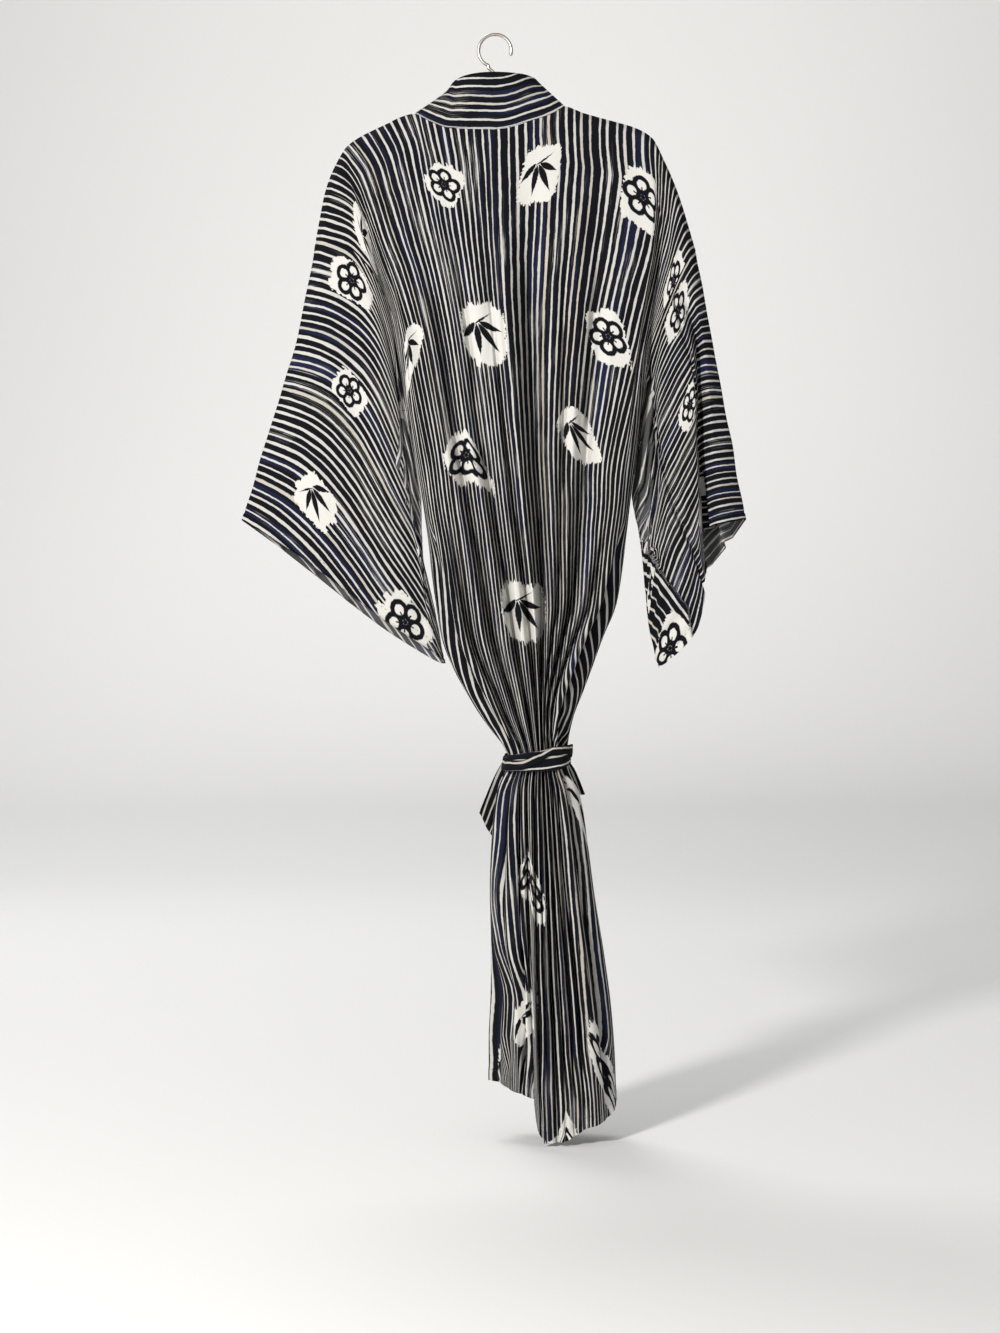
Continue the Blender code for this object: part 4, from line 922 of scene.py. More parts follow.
def seam_dip(off, depth=0.0012, width=0.0022):
    """The line of a seam, pulled in by its thread."""
    return depth * np.exp(-(off / width) ** 2)


def gathers(u, z, deep):
    """Small uneven pleats where the sash draws the cloth together."""
    above = np.exp(-(np.maximum(z - BELT_Z, 0) / 0.085) ** 1.5)
    below = np.exp(-(np.maximum(BELT_Z - z, 0) / 0.1) ** 1.5)
    bend = 0.004 * np.sin(z * 23 + u * 30)
    pleat = 0.5 + 0.5 * np.sin((u + bend) * 2 * math.pi / 0.0335)
    fine = 0.5 + 0.5 * np.sin((u - bend) * 2 * math.pi / 0.0137 + 1.3)
    return deep * above * below * (0.7 * pleat + 0.3 * fine)


def stripe_place(side, share, place, z, u):
    """Distance across the print: its stripes fan out with the body, and follow the side folds."""
    fan = np.where(z > BELT_Z, FAN_ABOVE, FAN_BELOW)
    fan = side * share * (ARMHOLE_U + (fan - ARMHOLE_U) * ease((FAN_FROM - z) / 0.3))
    on_side = ease((np.abs(place) - STRAIGHT) / 0.05) * ease((SIDE_FOLDS_BELOW - z) / 0.1)
    held = (FAN_HELD + (0.9 - FAN_HELD) * on_side)[:, 1:]
    step = np.diff(fan, axis=1) * (1 - held) + np.diff(u, axis=1) * held
    return np.concatenate((fan[:, :1], fan[:, :1] + np.cumsum(step, axis=1)), axis=1)


def read(at, run, line):
    """Points of a line at distances along it."""
    return np.stack([np.interp(at, run, line[:, i]) for i in range(3)], -1)


def line_on(points, at, level):
    """The line across a grid of cloth where a distance reaches a level in each column."""
    return np.array([read(end, at[:, j], points[:, j]) for j, end in enumerate(level)])


def loose(u, v):
    """1 in the open cloth and 0 where it is sewn, at the shoulder and along the armhole."""
    return ease((v - 0.004) / 0.03) * ease((ARMHOLE_U - np.abs(u)) / 0.012)


def drape(face, grid, place, u, v, finish, free=1.0, dip=0.0):
    """A body panel with its folds, creases, waves and gathers, and which way its hem faces."""
    table, wave_long, seed, wave_deep, gather_deep = finish
    z, normals = grid[..., 2], level_normals(grid, face)
    fine = (creases(u, v, table) + (ripple(u, v, wave_long, 3.0, seed) + 1) * wave_deep
            + gathers(u, z, gather_deep))
    drawn = folds(face, place, z, tuck_at(face, z)) + fine * free + dip - turned_hem(v, v[-1:])
    return grid - normals * drawn[..., None], normals[-1]


ROWS_FINER, COLUMNS_FINER = 5, 180
FAN_ABOVE, FAN_BELOW = 0.29, 0.165  # cloth shown by half the back, above and below the sash
FAN_FROM = -0.3  # height where the stripes start to close in
LEVELLED = (1.0, 0.4, 1.0)  # the print is laid out as it hangs, seen from behind
FAN_HELD = 0.12  # share by which the stripes also follow the folds
HEM_SEWN = 0.0135  # the hem's stitches are this far above its edge
sewn_lines = []
BACK_CREASES = mm(
    # from u, v to u, v, width, depth
    (-235, 60, -185, 420, 12, 4), (-150, 20, -135, 360, 10, 2.2), (-110, 180, -60, 700, 9, 3),
    (-30, 60, -20, 500, 8, 1.8), (20, 0, 50, 420, 12, -1.8), (85, 140, 70, 640, 10, 2.6),
    (130, 20, 125, 330, 11, 2), (180, 150, 120, 620, 10, 3), (225, 80, 190, 420, 13, 3.6),
    (260, 120, 235, 450, 10, 2.8), (-270, 120, -245, 440, 10, 2.6), (-85, 860, -60, 1200, 10, 3),
    (60, 840, 95, 1180, 8, 2.8), (150, 850, 120, 1220, 10, 2.8), (-190, 860, -170, 1160, 12, 2.6),
    (0, 880, 20, 1100, 9, -1.6))
# The creases; the length, seed and depth of the waves; and the depth of the gathers.
BACK_DRAPE = (BACK_CREASES, 0.055, 5, 0.0007, 0.0042)

low_rows = WING_ROWS + ARM_ROWS + len(LOWER_ROWS) + 1
dense_rows = np.linspace(0, low_rows - 1, (low_rows - 1) * ROWS_FINER + 1)
armholes = {}
side_seams = {}
for side, word in SIDES:
    edge, seam, _, corner = half_section(side, -1, NECK_Z)
    neck = abs(NECK_X[side] - seam) / (abs(edge - seam) - corner) * STRAIGHT
    places = [*np.linspace(0, neck, 8), *np.linspace(neck, STRAIGHT, 6)[1:],
              *np.linspace(STRAIGHT, 1, 6)[1:]]
    columns = [panel_column(side, -1, p, float(row_at(BACK_HEM, side * p))) for p in places]
    low = np.array(columns).transpose(1, 0, 2)
    armholes[side, -1] = low[:, -1].copy()
    even = np.linspace(0, 1, COLUMNS_FINER)
    grid = finer_grid(low, dense_rows, even, places)
    place = np.broadcast_to(side * even, grid.shape[:2])
    z, v = grid[..., 2], down_the_cloth(grid)
    u = across(-1, place, z)
    points, out = drape(-1, grid, place, u, v, BACK_DRAPE, loose(u, v), seam_dip(u))
    flat_u = across_the_cloth(grid * LEVELLED)
    stripes = stripe_place(side, flat_u / flat_u[:, -1:], place, z, u)
    sewn_lines.append((line_on(points, v, v[-1] - HEM_SEWN), out))
    piece = sew("cloth_back_" + word, points, np.stack((stripes, v), 2), (0, -1, 0),
                motif=np.stack((side * flat_u, v), 2))
    side_seams[side] = points[:, -1].copy()


# ---- Fronts and overlaps -------------------------------------------------------------------
# Each front is one length of the same cotton with a narrower overlap sewn to it. The left one
# lies over the right one, and both are cut away along the slanting seam of the collar.

LAYER = 0.006  # left front lies this far outside the right front
LAYER_FROM, LAYER_OVER = -0.16, 0.16  # it parts from it here, over this height
COLLAR_FOOT = -1.1  # the collar ends here, and the overlap's own edge goes on
# Front edges (the seam of the collar) and overlap seams, by height.
FRONT_EDGE = {
    -1: mm(
        (-96, -100), (-150, -96), (-250, -78), (-350, -52), (-450, -22), (-575, 14), (-700, 38),
        (-800, 46), (-860, 46), (-901, 46), (-960, 50), (-1050, 56), (-1120, 66), (-1200, 80),
        (-1380, 96)),
    1: mm(
        (-86, 87), (-150, 85), (-250, 72), (-350, 54), (-450, 36), (-575, 22), (-700, 26),
        (-800, 40), (-860, 50), (-901, 55), (-960, 56), (-1050, 57), (-1200, 52), (-1380, 48))}
OVERLAP_SEAM = {
    -1: mm(
        (-280, -72), (-450, -55), (-575, -34), (-700, -10), (-800, 16), (-860, 31), (-901, 38),
        (-960, 39), (-1050, 40), (-1200, 46), (-1380, 52)),
    1: mm(
        (-280, 68), (-450, 72), (-575, 72), (-700, 76), (-800, 68), (-860, 64), (-901, 64),
        (-960, 70), (-1050, 78), (-1200, 88), (-1380, 90))}
FRONT_HEM = {-1: -1.308, 1: -1.3}
OVERLAP_TOP = -0.28
OVERLAP_TIP = 0.0025  # width that the overlap starts with


def across_place(x, z):
    """Signed place across the body at a position between the rounded sides."""
    left, right, seam, _, _, corner = section(z)
    if x < seam:
        return -(seam - x) / (seam - left - corner) * STRAIGHT
    return (x - seam) / (right - corner - seam) * STRAIGHT


def front_edge(side, z):
    return float(row_at(FRONT_EDGE[side], z))


def panel_edge(side, z):
    """Inner edge of a front panel: the collar's seam, and lower down the overlap's seam."""
    edge = front_edge(side, z)
    if z > OVERLAP_TOP:
        return edge
    seam = float(row_at(OVERLAP_SEAM[side], z))
    return edge + side * max(side * (seam - edge), OVERLAP_TIP)


def front_level(side, place, z):
    """The left front lies over the right one, and meets the back at the side seam."""
    if side > 0:
        return 0.0
    below = ease((ARMHOLE_Z - z) / 0.1)
    above_reach = ease((place + STRAIGHT) / 0.3)
    below_reach = ease((place + 1) / 0.12)
    reach = above_reach * (1 - below) + below_reach * below
    return LAYER * ease((LAYER_FROM - z) / LAYER_OVER) * reach


def front_at(side, x, z):
    """A point of a front at a position across and a height, before its folds."""
    place = across_place(x, z)
    where = -1 if place < 0 else 1
    return body_point(where, 1, min(abs(place), 1.0), z, front_level(side, place, z))


def front_across(side, share, z):
    edge, _, _, corner = half_section(side, 1, z)
    lip = edge - side * corner
    return lip + (panel_edge(side, z) - lip) * share


def front_column(side, share):
    """One line of a front panel between its rounded side (share 0) and its inner edge (1)."""
    points = []
    for row in range(WING_ROWS + 1):
        distance = column_start(side, 0) * row / WING_ROWS
        x = NECK_X[side]
        for _ in range(4):
            z = shoulder_z(x) - distance
            x = front_across(side, share, z)
        spot_x, y, z = front_at(side, x, z)
        points.append((spot_x, y * ridge(side, 1, x, distance), z))
    for z in lower_heights(points[-1][2], FRONT_HEM[side]):
        points.append(front_at(side, front_across(side, share, z), z))
    return points


def place_on_front(point):
    return across_place(point[0], point[2])


FRONT_CREASES = mm(
    (-240, 50, -170, 480, 11, 3.4), (-130, 60, -90, 560, 10, 2.8), (240, 60, 180, 460, 11, 3.4),
    (140, 40, 110, 540, 10, 2.6), (-60, 400, -10, 740, 9, 2.6), (70, 420, 30, 760, 9, 2.6),
    (-130, 820, -150, 1180, 12, 3), (120, 820, 150, 1180, 12, 3), (-250, 830, -240, 1150, 10, 2.8),
    (250, 830, 240, 1150, 10, 2.8))
FRONT_DRAPE = (FRONT_CREASES, 0.06, 8, 0.0006, 0.003)
FRONT_PRINT, OVERLAP_PRINT, OVERLAP_STRIPES = 1.3, 2.1, 0.5  # where they were cut from the roll
LAP_COLUMNS = 6
SEAM_EASE = 16  # columns of the front over which it draws up to the side seam
collar_seams = {}
for side, word in SIDES:
    side_places = np.linspace(1, STRAIGHT, 6)[:-1]
    columns = [panel_column(side, 1, place, FRONT_HEM[side]) for place in side_places]
    across_line = [[side * place] * low_rows for place in side_places]
    for share in np.linspace(0, 1, 10):
        columns.append(front_column(side, share))
        across_line.append([place_on_front(point) for point in columns[-1]])
    low = np.array(columns).transpose(1, 0, 2)
    low_place = np.array(across_line).T
    armholes[side, 1] = low[:, 0].copy()
    seam_heights = low[:, -1, 2]
    first = int(np.argmax(seam_heights < OVERLAP_TOP))
    lap = []
    for z in seam_heights[first:]:
        inner, outer = panel_edge(side, z), front_edge(side, z)
        lap.append([front_at(side, inner + (outer - inner) * share, z)
                    for share in np.linspace(0, 1, LAP_COLUMNS)])
    lap = np.array(lap)
    lap_place = np.array([[place_on_front(point) for point in line] for line in lap])

    dense_columns = np.linspace(0, low.shape[1] - 1, COLUMNS_FINER)
    grid = finer_grid(low, dense_rows, dense_columns)
    place = finer_grid(low_place, dense_rows, dense_columns)
    z, v = grid[..., 2], down_the_cloth(grid)
    u = across(1, place, z)
    points, out = drape(1, grid, place, u, v, FRONT_DRAPE, loose(u, v))
    closing = (side_seams[side] - points[:, 0]) * ease((ARMHOLE_Z - z[:, :1]) / 0.03)
    points = points + closing[:, None] * (1 - ease(np.arange(COLUMNS_FINER) / SEAM_EASE))[:, None]
    sewn_lines.append((line_on(points, v, v[-1] - HEM_SEWN), out))
    flat_u = FRONT_PRINT + side * across_the_cloth(grid)
    stripes = stripe_place(side, np.abs(place), place, z, u)
    piece = sew("cloth_front_" + word, points, np.stack((stripes, v), 2), (0, 1, 0),
                motif=np.stack((flat_u, v), 2))

    start = first * ROWS_FINER
    lap_rows, lap_columns = dense_rows[start:] - first, np.linspace(0, LAP_COLUMNS - 1, 41)
    grid = finer_grid(lap, lap_rows, lap_columns)
    place = finer_grid(lap_place, lap_rows, lap_columns)
    v = v[start:, -1:] + 0 * place
    u = across(1, place, grid[..., 2])
    off = np.abs(u - u[:, :1])
    lap_points, out = drape(1, grid, place, u, v, FRONT_DRAPE, dip=seam_dip(off, 0.0008))
    lap_points[:, 0] = points[start:, -1]
    sewn_lines.append((line_on(lap_points, v, v[-1] - HEM_SEWN), out))
    flat_u = OVERLAP_PRINT + side * across_the_cloth(grid)
    piece = sew("cloth_overlap_" + word, lap_points, np.stack((off + OVERLAP_STRIPES, v), 2),
                (0, 1, 0), motif=np.stack((flat_u, v), 2))
    "cloth_front_" + word
    foot = int(np.argmax(lap_points[:, -1, 2] < COLLAR_FOOT))
    collar_seams[side] = np.concatenate((points[:start, -1], lap_points[:foot, -1]))


# ---- Collar --------------------------------------------------------------------------------
# One long band, folded double round a strip of lining, that stands behind the neck and turns to
# lie flat down both front edges. Its stripes run along it, and it is sewn on all the way.

BAND = 0.002  # thickness of a folded band
COLLAR_TURN = 0.13  # it turns from standing to lying flat over this height
COLLAR_WIDTH = mm(
    (-90, 58), (-600, 58), (-750, 48), (-800, 34), (-860, 20), (-901, 16), (-940, 20), (-980, 26),
    (-1050, 34), (-1100, 36))
SHARES = np.linspace(0, 1, 15)  # places across the collar, from its seam to its fold
NAPE_COLUMNS = 15  # lines of the standing collar, from neck point to neck point
COLLAR_STRIPES, COLLAR_PRINT = 0.803, (0.838, 0.571)  # where it was cut from the roll
COLLAR_SEWN = 0.0035  # its stitches are this far from the seam
# Its upper edge: the tips at the left (-1) and right (1) neck point, and the middle (0).
COLLAR_TOP = {-1: (-0.056, 0.01, -0.064), 0: (-0.002, -0.022, -0.05), 1: (0.05, 0.01, -0.052)}


def nape_top(side, along):
    """Upper edge of the standing collar: along runs from the nape (0) to the neck point (1)."""
    turn = math.pi / 2 * along
    run = np.subtract(COLLAR_TOP[side], COLLAR_TOP[0])
    return COLLAR_TOP[0] + run * (math.sin(turn), 1 - math.cos(turn), along ** 2)


neckline = []
for side in (-1, 1):
    neck = abs(across_place(NECK_X[side], NECK_Z))
    line = [column_point(side, -1, place, 0.0)
            for place in np.linspace(0, neck, (NAPE_COLUMNS + 1) // 2)]
    neckline = line[:0:-1] if side < 0 else neckline + line
neckline = np.array(neckline)
runs = {}
for side in (-1, 1):
    points = collar_seams[side]
    rise = nape_top(side, 1.0) - neckline[0 if side < 0 else -1]
    run = []
    for foot in points:
        z = foot[2]
        upright = 1 - ease((points[0][2] - z) / COLLAR_TURN)
        line = []
        start = np.array(front_at(side, foot[0], z))
        start_fold = folds(1, place_on_front(foot), z, tuck_at(1, z))
        for share in SHARES:
            reach = float(row_at(COLLAR_WIDTH, z)) * share
            x = foot[0] - side * reach
            flat = np.array(front_at(side, x, z))
            tuck = tuck_at(1, z) * (1 - ease(share / 0.25))
            level = folds(1, across_place(x, z), z, tuck) - start_fold
            flat = foot + (flat - start) - (0, float(level), 0)
            line.append(flat + (foot + rise * share - flat) * upright)
        run.append(line)
    runs[side] = np.array(run)
nape = []
for place in np.linspace(-1, 1, NAPE_COLUMNS):
    index = (place + 1) / 2 * (NAPE_COLUMNS - 1)
    foot = curve(index, np.arange(NAPE_COLUMNS), neckline)[0] + (0, 0, 0.0006)
    top = nape_top(-1 if place < 0 else 1, abs(place))
    nape.append([foot + (top - foot) * up for up in SHARES])
nape = finer(np.array(nape), np.linspace(0, NAPE_COLUMNS - 1, 71))
strip = np.concatenate((runs[-1][:0:-1], nape, runs[1][1:]))
first, last = len(runs[-1]) - 1, len(runs[-1]) + len(nape) - 2
strip[first, 0] = nape[0, 0]
reach = across_the_cloth(strip)
length = down_the_cloth(strip[:, :1]) + 0 * reach
middle = (first + last) // 2
collar_uv = np.stack((reach + COLLAR_STRIPES, length), 2)
collar_spot = np.stack((reach, length - length[middle])) + np.reshape(COLLAR_PRINT, (2, 1, 1))
collar_spot = np.moveaxis(collar_spot, 0, 2)
out = grid_normals(strip)
out = -out if out[middle, :, 1].sum() > 0 else out
fold_line = reach[:, -1:] - reach
wave = ripple(length, reach, 0.075, 1.5, 21) * 0.0011
wave = wave * ease(reach / 0.02) + 0.0006 * np.exp(-(fold_line / 0.004) ** 2)
strip = strip + out * wave[..., None]
seam_line = line_on(strip.transpose(1, 0, 2), reach.T, np.full(len(strip), COLLAR_SEWN))
sewn_lines.append((seam_line, out[:, 1]))
collar_looks = (printed_cotton("collar_cotton", 0.0, 0.031, 0.78), reverse)
for word, rows in (("left", slice(0, first + 1)), ("back", slice(first, last + 1)),
                   ("right", slice(last, None))):
    towards = out[rows].mean(axis=(0, 1))
    piece = sew("cloth_collar_" + word, strip[rows], collar_uv[rows], towards,
                thickness=BAND, looks=collar_looks, motif=collar_spot[rows])


# ---- Sleeves -------------------------------------------------------------------------------
# Wide straight sleeves, one length of cotton each, folded over the arm and sewn to the armhole.
# The stripes run down them, side by side with the cuff, and the cuff is left open.

CUFF_U = 0.68  # centre-back seam to cuff
LEFT_RINGS = {
    0.44: mm(
        (-249, 2, -380), (-215, -19, -388), (-180, -22, -402), (-142, -22, -420),
        (-123, -16, -441), (-115, -10, -530), (-90, 0, -640), (-115, 10, -530), (-125, 18, -446),
        (-145, 27, -424), (-182, 28, -404), (-218, 23, -389)),
    0.56: mm(
        (-283, 3, -492), (-243, -19, -505), (-196, -24, -530), (-140, -23, -565),
        (-103, -16, -597), (-92, -9, -650), (-75, 0, -715), (-92, 9, -650), (-106, 20, -600),
        (-143, 30, -568), (-198, 31, -533), (-245, 25, -507)),
    0.68: mm(
        (-317, 4, -605), (-274, -16, -630), (-210, -22, -675), (-135, -21, -732), (-74, -15, -772),
        (-66, -8, -780), (-62, 0, -784), (-66, 10, -784), (-78, 20, -779), (-138, 30, -742),
        (-212, 31, -685), (-276, 24, -635))}
RIGHT_RINGS = {
    0.44: mm(
        (274, 2, -386), (260, -14, -388), (253, -2, -391), (246, -20, -412), (202, -20, -488),
        (190, -10, -560), (182, 2, -640), (192, 12, -560), (204, 24, -470), (222, 32, -440),
        (242, 30, -412), (262, 22, -394)),
    0.56: mm(
        (296, 2, -505), (272, -17, -508), (256, 4, -513), (252, -22, -548), (214, -30, -610),
        (196, -22, -668), (190, -6, -730), (191, 14, -668), (206, 28, -610), (232, 34, -565),
        (258, 32, -534), (282, 22, -514)),
    0.64: mm(
        (308, 2, -572), (280, -18, -576), (260, 5, -583), (256, -24, -645), (236, -30, -702),
        (212, -25, -742), (199, -5, -772), (208, 15, -742), (230, 27, -705), (248, 33, -655),
        (262, 32, -622), (288, 23, -598)),
    0.68: mm(
        (314, 2, -604), (284, -18, -610), (262, 6, -618), (261, -24, -690), (252, -30, -738),
        (230, -26, -768), (204, -5, -790), (222, 16, -772), (244, 27, -745), (256, 33, -700),
        (266, 33, -672), (290, 24, -640))}
SLEEVE_RINGS = 96
AROUND_FINER = 10
SLEEVE_CREASES = {
    # from u, v to u, v, width, depth: v is the distance down from the fold, in front below 0
    -1: mm(
        (345, 60, 500, 300, 13, 3), (360, 20, 640, 210, 16, 2.6), (340, 150, 470, 330, 10, 2.6),
        (420, 20, 670, 110, 14, -2), (350, 240, 420, 350, 9, 3), (520, 180, 670, 300, 15, 2.2),
        (350, -80, 560, -280, 14, 3), (380, -20, 650, -140, 15, 2.4)),
    1: mm(
        (340, 80, 480, 290, 11, 3), (350, 40, 620, 250, 12, 2.6), (360, 160, 520, 330, 10, 2.8),
        (400, 10, 660, 60, 12, 1.8), (520, 150, 670, 320, 12, -2.2), (560, 120, 670, 200, 10, 2.2),
        (350, -80, 540, -280, 13, 3), (400, -20, 650, -140, 14, 2.4))}
SLEEVE_TUCKS = {
    # v at the armhole and at the cuff, half width, depth at the armhole and at the cuff
    -1: mm(
        (-70, -60, 10, 4, 8), (-130, -115, 10, 4, 10), (-190, -170, 10, 5, 8),
        (290, 270, 10, 3, 2)),
    1: mm(
        (66, 68, 7, 4, 15), (170, 150, 8, 4, 10), (-50, -40, 8, 6, 22), (-95, -82, 8, 8, 22),
        (-140, -124, 8, 8, 20), (-190, -170, 8, 6, 18))}
UNDERARM_PLEAT = 0.03  # the cloth under the arm lies in pleats this far apart
UNDERARM_FROM, UNDERARM_FADE = 0.42, 0.85  # share of the way down, and loss towards the cuff
UNDERARM_DEPTH = {-1: 0.0075, 1: 0.012}
STRIPE_DROOP = {-1: 0.95, 1: 0.45}  # how the hanging cloth carries its stripes down
SLEEVE_PAINTED_LIGHT_WHITE = {-1: 1.18, 1: 0.9}  # share of the print's white, raised on the left sleeve as painted light and lowered on the right sleeve as painted shade
SLEEVE_TURN = {-1: 0.65, 1: 0.35}  # how far the stripes swing to run square with the cuff
CUFF_SEWN = 0.0105  # the cuff's stitches are this far inside its edge
# Edge of the wrapped corner under the right sleeve, and the way its stripes run.
FLAP_EDGE = mm(
    # z, x
    (-790, 240), (-760, 245), (-714, 239), (-676, 207.5), (-646, 187.5), (-600, 150))
FLAP_WAY = (0.6, -0.8)
FLAP_TOP = -0.642
FLAP_STEP = 0.0075  # how far the cloth behind it is set back
SLEEVE_OPEN = ((1, 0.0055), (2, 0.007), (3, 0.008))  # least gap beside the underarm fold
# Places round a ring, out of 28, of the twelve rows in the tables above; the last one closes it.
KNOTS = (0, 2, 4, 6, 8, 11, 14, 17, 20, 22, 24, 26, 28)


def wrapped_corner(side, points, v):
    """Distance of the right sleeve's cloth behind the edge of its wrapped corner."""
    edge = np.interp(points[..., 2], FLAP_EDGE[:, 0], FLAP_EDGE[:, 1])
    off = (points[..., 0] - edge) * -FLAP_WAY[1]
    return np.where((v > 0.02) & (points[..., 2] < FLAP_TOP) & (side > 0), off, 1.0)


def outward(grid):
    """Normals of a closed tube of cloth, all facing away from its middle."""
    normals = grid_normals(grid, closed=True)
    away = (normals * (grid - grid.mean(axis=1, keepdims=True))).sum()
    return -normals if away < 0 else normals


def joined(grid):
    """A closed grid with its first column once more at the end."""
    return np.concatenate((grid, grid[:, :1]), axis=1)


foot = WING_ROWS + ARM_ROWS
count = 2 * foot
for side, word in SIDES:
    back, ahead = armholes[side, -1], armholes[side, 1]
    ring = np.concatenate((back[:foot + 1], ahead[foot - 1:0:-1]))
    ring[[0, foot], 1] = 0.0
    tables = LEFT_RINGS if side < 0 else RIGHT_RINGS
    sections = [ring]
    for table in tables.values():
        around = np.concatenate((table[-3:], table, table[:3]))
        at = [knot - count for knot in KNOTS[-4:-1]] + list(KNOTS[:-1])
        at += [knot + count for knot in KNOTS[:3]]
        sections.append(curve(np.arange(count), at, around))
    distances = np.linspace(ARMHOLE_U, CUFF_U, SLEEVE_RINGS)
    grid = finer(np.array(sections), distances, (ARMHOLE_U, *tables))
    for step, apart in SLEEVE_OPEN:
        one, two = grid[1:, foot - step], grid[1:, foot + step]
        between = two - one
        size = np.linalg.norm(between, axis=1, keepdims=True)
        push = between / size * np.maximum(apart - size, 0) / 2
        one -= push
        two += push
    grid = np.roll(grid, foot, axis=1)
    padded = np.concatenate((grid[:, -3:], grid, grid[:, :4]), axis=1)
    at = np.linspace(0, count, count * AROUND_FINER + 1)[:-1]
    grid = finer(padded.transpose(1, 0, 2), at + 3).transpose(1, 0, 2)
    half = len(at) // 2
    v = across_the_cloth(joined(grid))
    v = v - v[:, half:half + 1]
    u = np.broadcast_to(distances[:, None], v.shape)
    flat_u, flat_v = u[:, :-1], v[:, :-1]
    sewn = ease((flat_u - ARMHOLE_U) / 0.02)
    drawn = creases(flat_u, flat_v, SLEEVE_CREASES[side]) * sewn
    drawn += (ripple(flat_u, flat_v, 0.07, 1.6, 31 + side) + 1) * 0.0006 * sewn
    run = np.clip((flat_u - ARMHOLE_U) / (CUFF_U - ARMHOLE_U), 0, 1)
    for v_armhole, v_cuff, width, near, far in SLEEVE_TUCKS[side]:
        off = np.abs(flat_v - v_armhole - (v_cuff - v_armhole) * run)
        drawn += (near + (far - near) * run) * sewn * (1 - ease(off / width))
    down_it = np.abs(flat_v) / np.abs(flat_v).max(axis=1, keepdims=True)
    low = ease((down_it - UNDERARM_FROM) / 0.25) * ease((1 - down_it) / 0.1)
    low = low * (1 - UNDERARM_FADE * ease((run - 0.25) / 0.35))
    pleat = np.sin((flat_u - ARMHOLE_U) * 2 * math.pi / UNDERARM_PLEAT + flat_v * 9)
    drawn += UNDERARM_DEPTH[side] * (pleat + 1) * low * sewn * ease((CUFF_U - flat_u) / 0.02)
    behind = wrapped_corner(side, grid, flat_v)
    drawn += FLAP_STEP * (1 - ease(behind / 0.02)) * ease(behind / 0.0015)
    drawn -= turned_hem(flat_u, CUFF_U, 0.011, 0.0006)
    drawn += seam_dip(flat_u - ARMHOLE_U - 0.001, 0.001, 0.0025)
    normals = outward(grid)
    points = grid - normals * drawn[..., None]
    cuff = line_on(points, u[:, :-1] + 0 * drawn, np.full(points.shape[1], CUFF_U - CUFF_SEWN))
    sewn_lines.append((cuff, normals[-1]))
    spot = joined(CUFF_U - down_the_cloth(grid[::-1])[::-1])
    spot = u + (spot - u) * SLEEVE_TURN[side] * ease((np.abs(v) - 0.05) / 0.17)
    u = spot - STRIPE_DROOP[side] * v ** 2
    wrapped = joined(behind) < 0
    level_x, level_z = joined(grid[..., 0]), joined(grid[..., 2])
    u = np.where(wrapped, 0.5 - level_x * FLAP_WAY[1] + level_z * FLAP_WAY[0], u)
    stripe_v = np.where(wrapped, level_x * FLAP_WAY[0] + level_z * FLAP_WAY[1], v)
    # Each sleeve gets its own copy of the cotton: more white on the left sleeve as painted light,
    # less white on the right sleeve as painted shade.
    cotton = printed_cotton("sleeve_cotton_" + word, 0.0, white_share=SLEEVE_PAINTED_LIGHT_WHITE[side])
    piece = sew("cloth_sleeve_" + word, points, np.stack((u, stripe_v), 2), None, closed=True,
                looks=(cotton, reverse), motif=np.stack((spot, v), 2))
    "cloth_back_" + word


# ---- Sash ----------------------------------------------------------------------------------
# A narrow sash of the same cotton, sewn into a flat band with its stripes lengthwise. It goes
# round the waist twice, crosses behind, and is tied in front in a bow with hanging tails.

# Two laps round the waist. Rows give the way round (0 middle of the back, 0.25 right side,
# 0.5 front, 0.75 left side), the top edge and the bottom edge.
SASH_INNER = np.array((
    (0.0, -0.8925, -0.9175), (0.1, -0.888, -0.916), (0.25, -0.886, -0.909),
    (0.4, -0.889, -0.909), (0.5, -0.893, -0.909), (0.6, -0.895, -0.912),
    (0.75, -0.899, -0.918), (0.9, -0.896, -0.918), (1.0, -0.8925, -0.9175)))
SASH_OUTER = np.array((
    (0.0, -0.896, -0.906), (0.1, -0.887, -0.896), (0.25, -0.885, -0.899),
    (0.4, -0.89, -0.907), (0.5, -0.895, -0.911), (0.6, -0.897, -0.914),
    (0.75, -0.903, -0.917), (0.9, -0.904, -0.916), (1.0, -0.896, -0.906)))
SASH_CLEAR = 0.0009  # inner lap's clearance over the gathers
LAP_GAP = 0.0006  # between the two laps
SASH_WIDE, SASH_ROUND = 17, 320  # points across a band and round the waist
KNOT_MIDDLE = (0.05, 0.0535, -0.901)
KNOT_REACH, KNOT_DEPTH, KNOT_HEIGHT = 0.011, 0.011, 0.017
# Both ears of the bow: middle of the band going out, half width, and how far ahead it is.
EARS = {
    -1: mm(
        # x, y, z, half width
        (41, 50, -900, 9), (29, 52, -906, 11.5), (12, 53, -935, 14.5), (-9.5, 50, -988, 15)),
    1: mm(
        (58.5, 50, -900.5, 12.6), (72, 53, -906, 11.5), (88, 54, -922, 13), (98.5, 52, -948, 14))}
EAR_TURN = 0.004  # radius of the fold at the end of an ear
TAILS = {
    -1: mm(
        (44, 50, -919, 5), (40, 56, -950, 8.5), (37, 59, -1020, 11), (33, 64, -1110, 12.5),
        (31, 67, -1193, 13)),
    1: mm(
        (56, 50, -919, 5), (62, 56, -950, 8.5), (66, 59, -1020, 11), (70, 64, -1100, 12.5),
        (68, 67, -1170, 13))}
sash_looks = (printed_cotton("sash_cotton", 0.0, 0.117),) * 2


def tie(name, points, uv, face, closed=False):
    """A piece of the sash."""
    return sew(name, points, uv, face, closed, BAND, sash_looks)


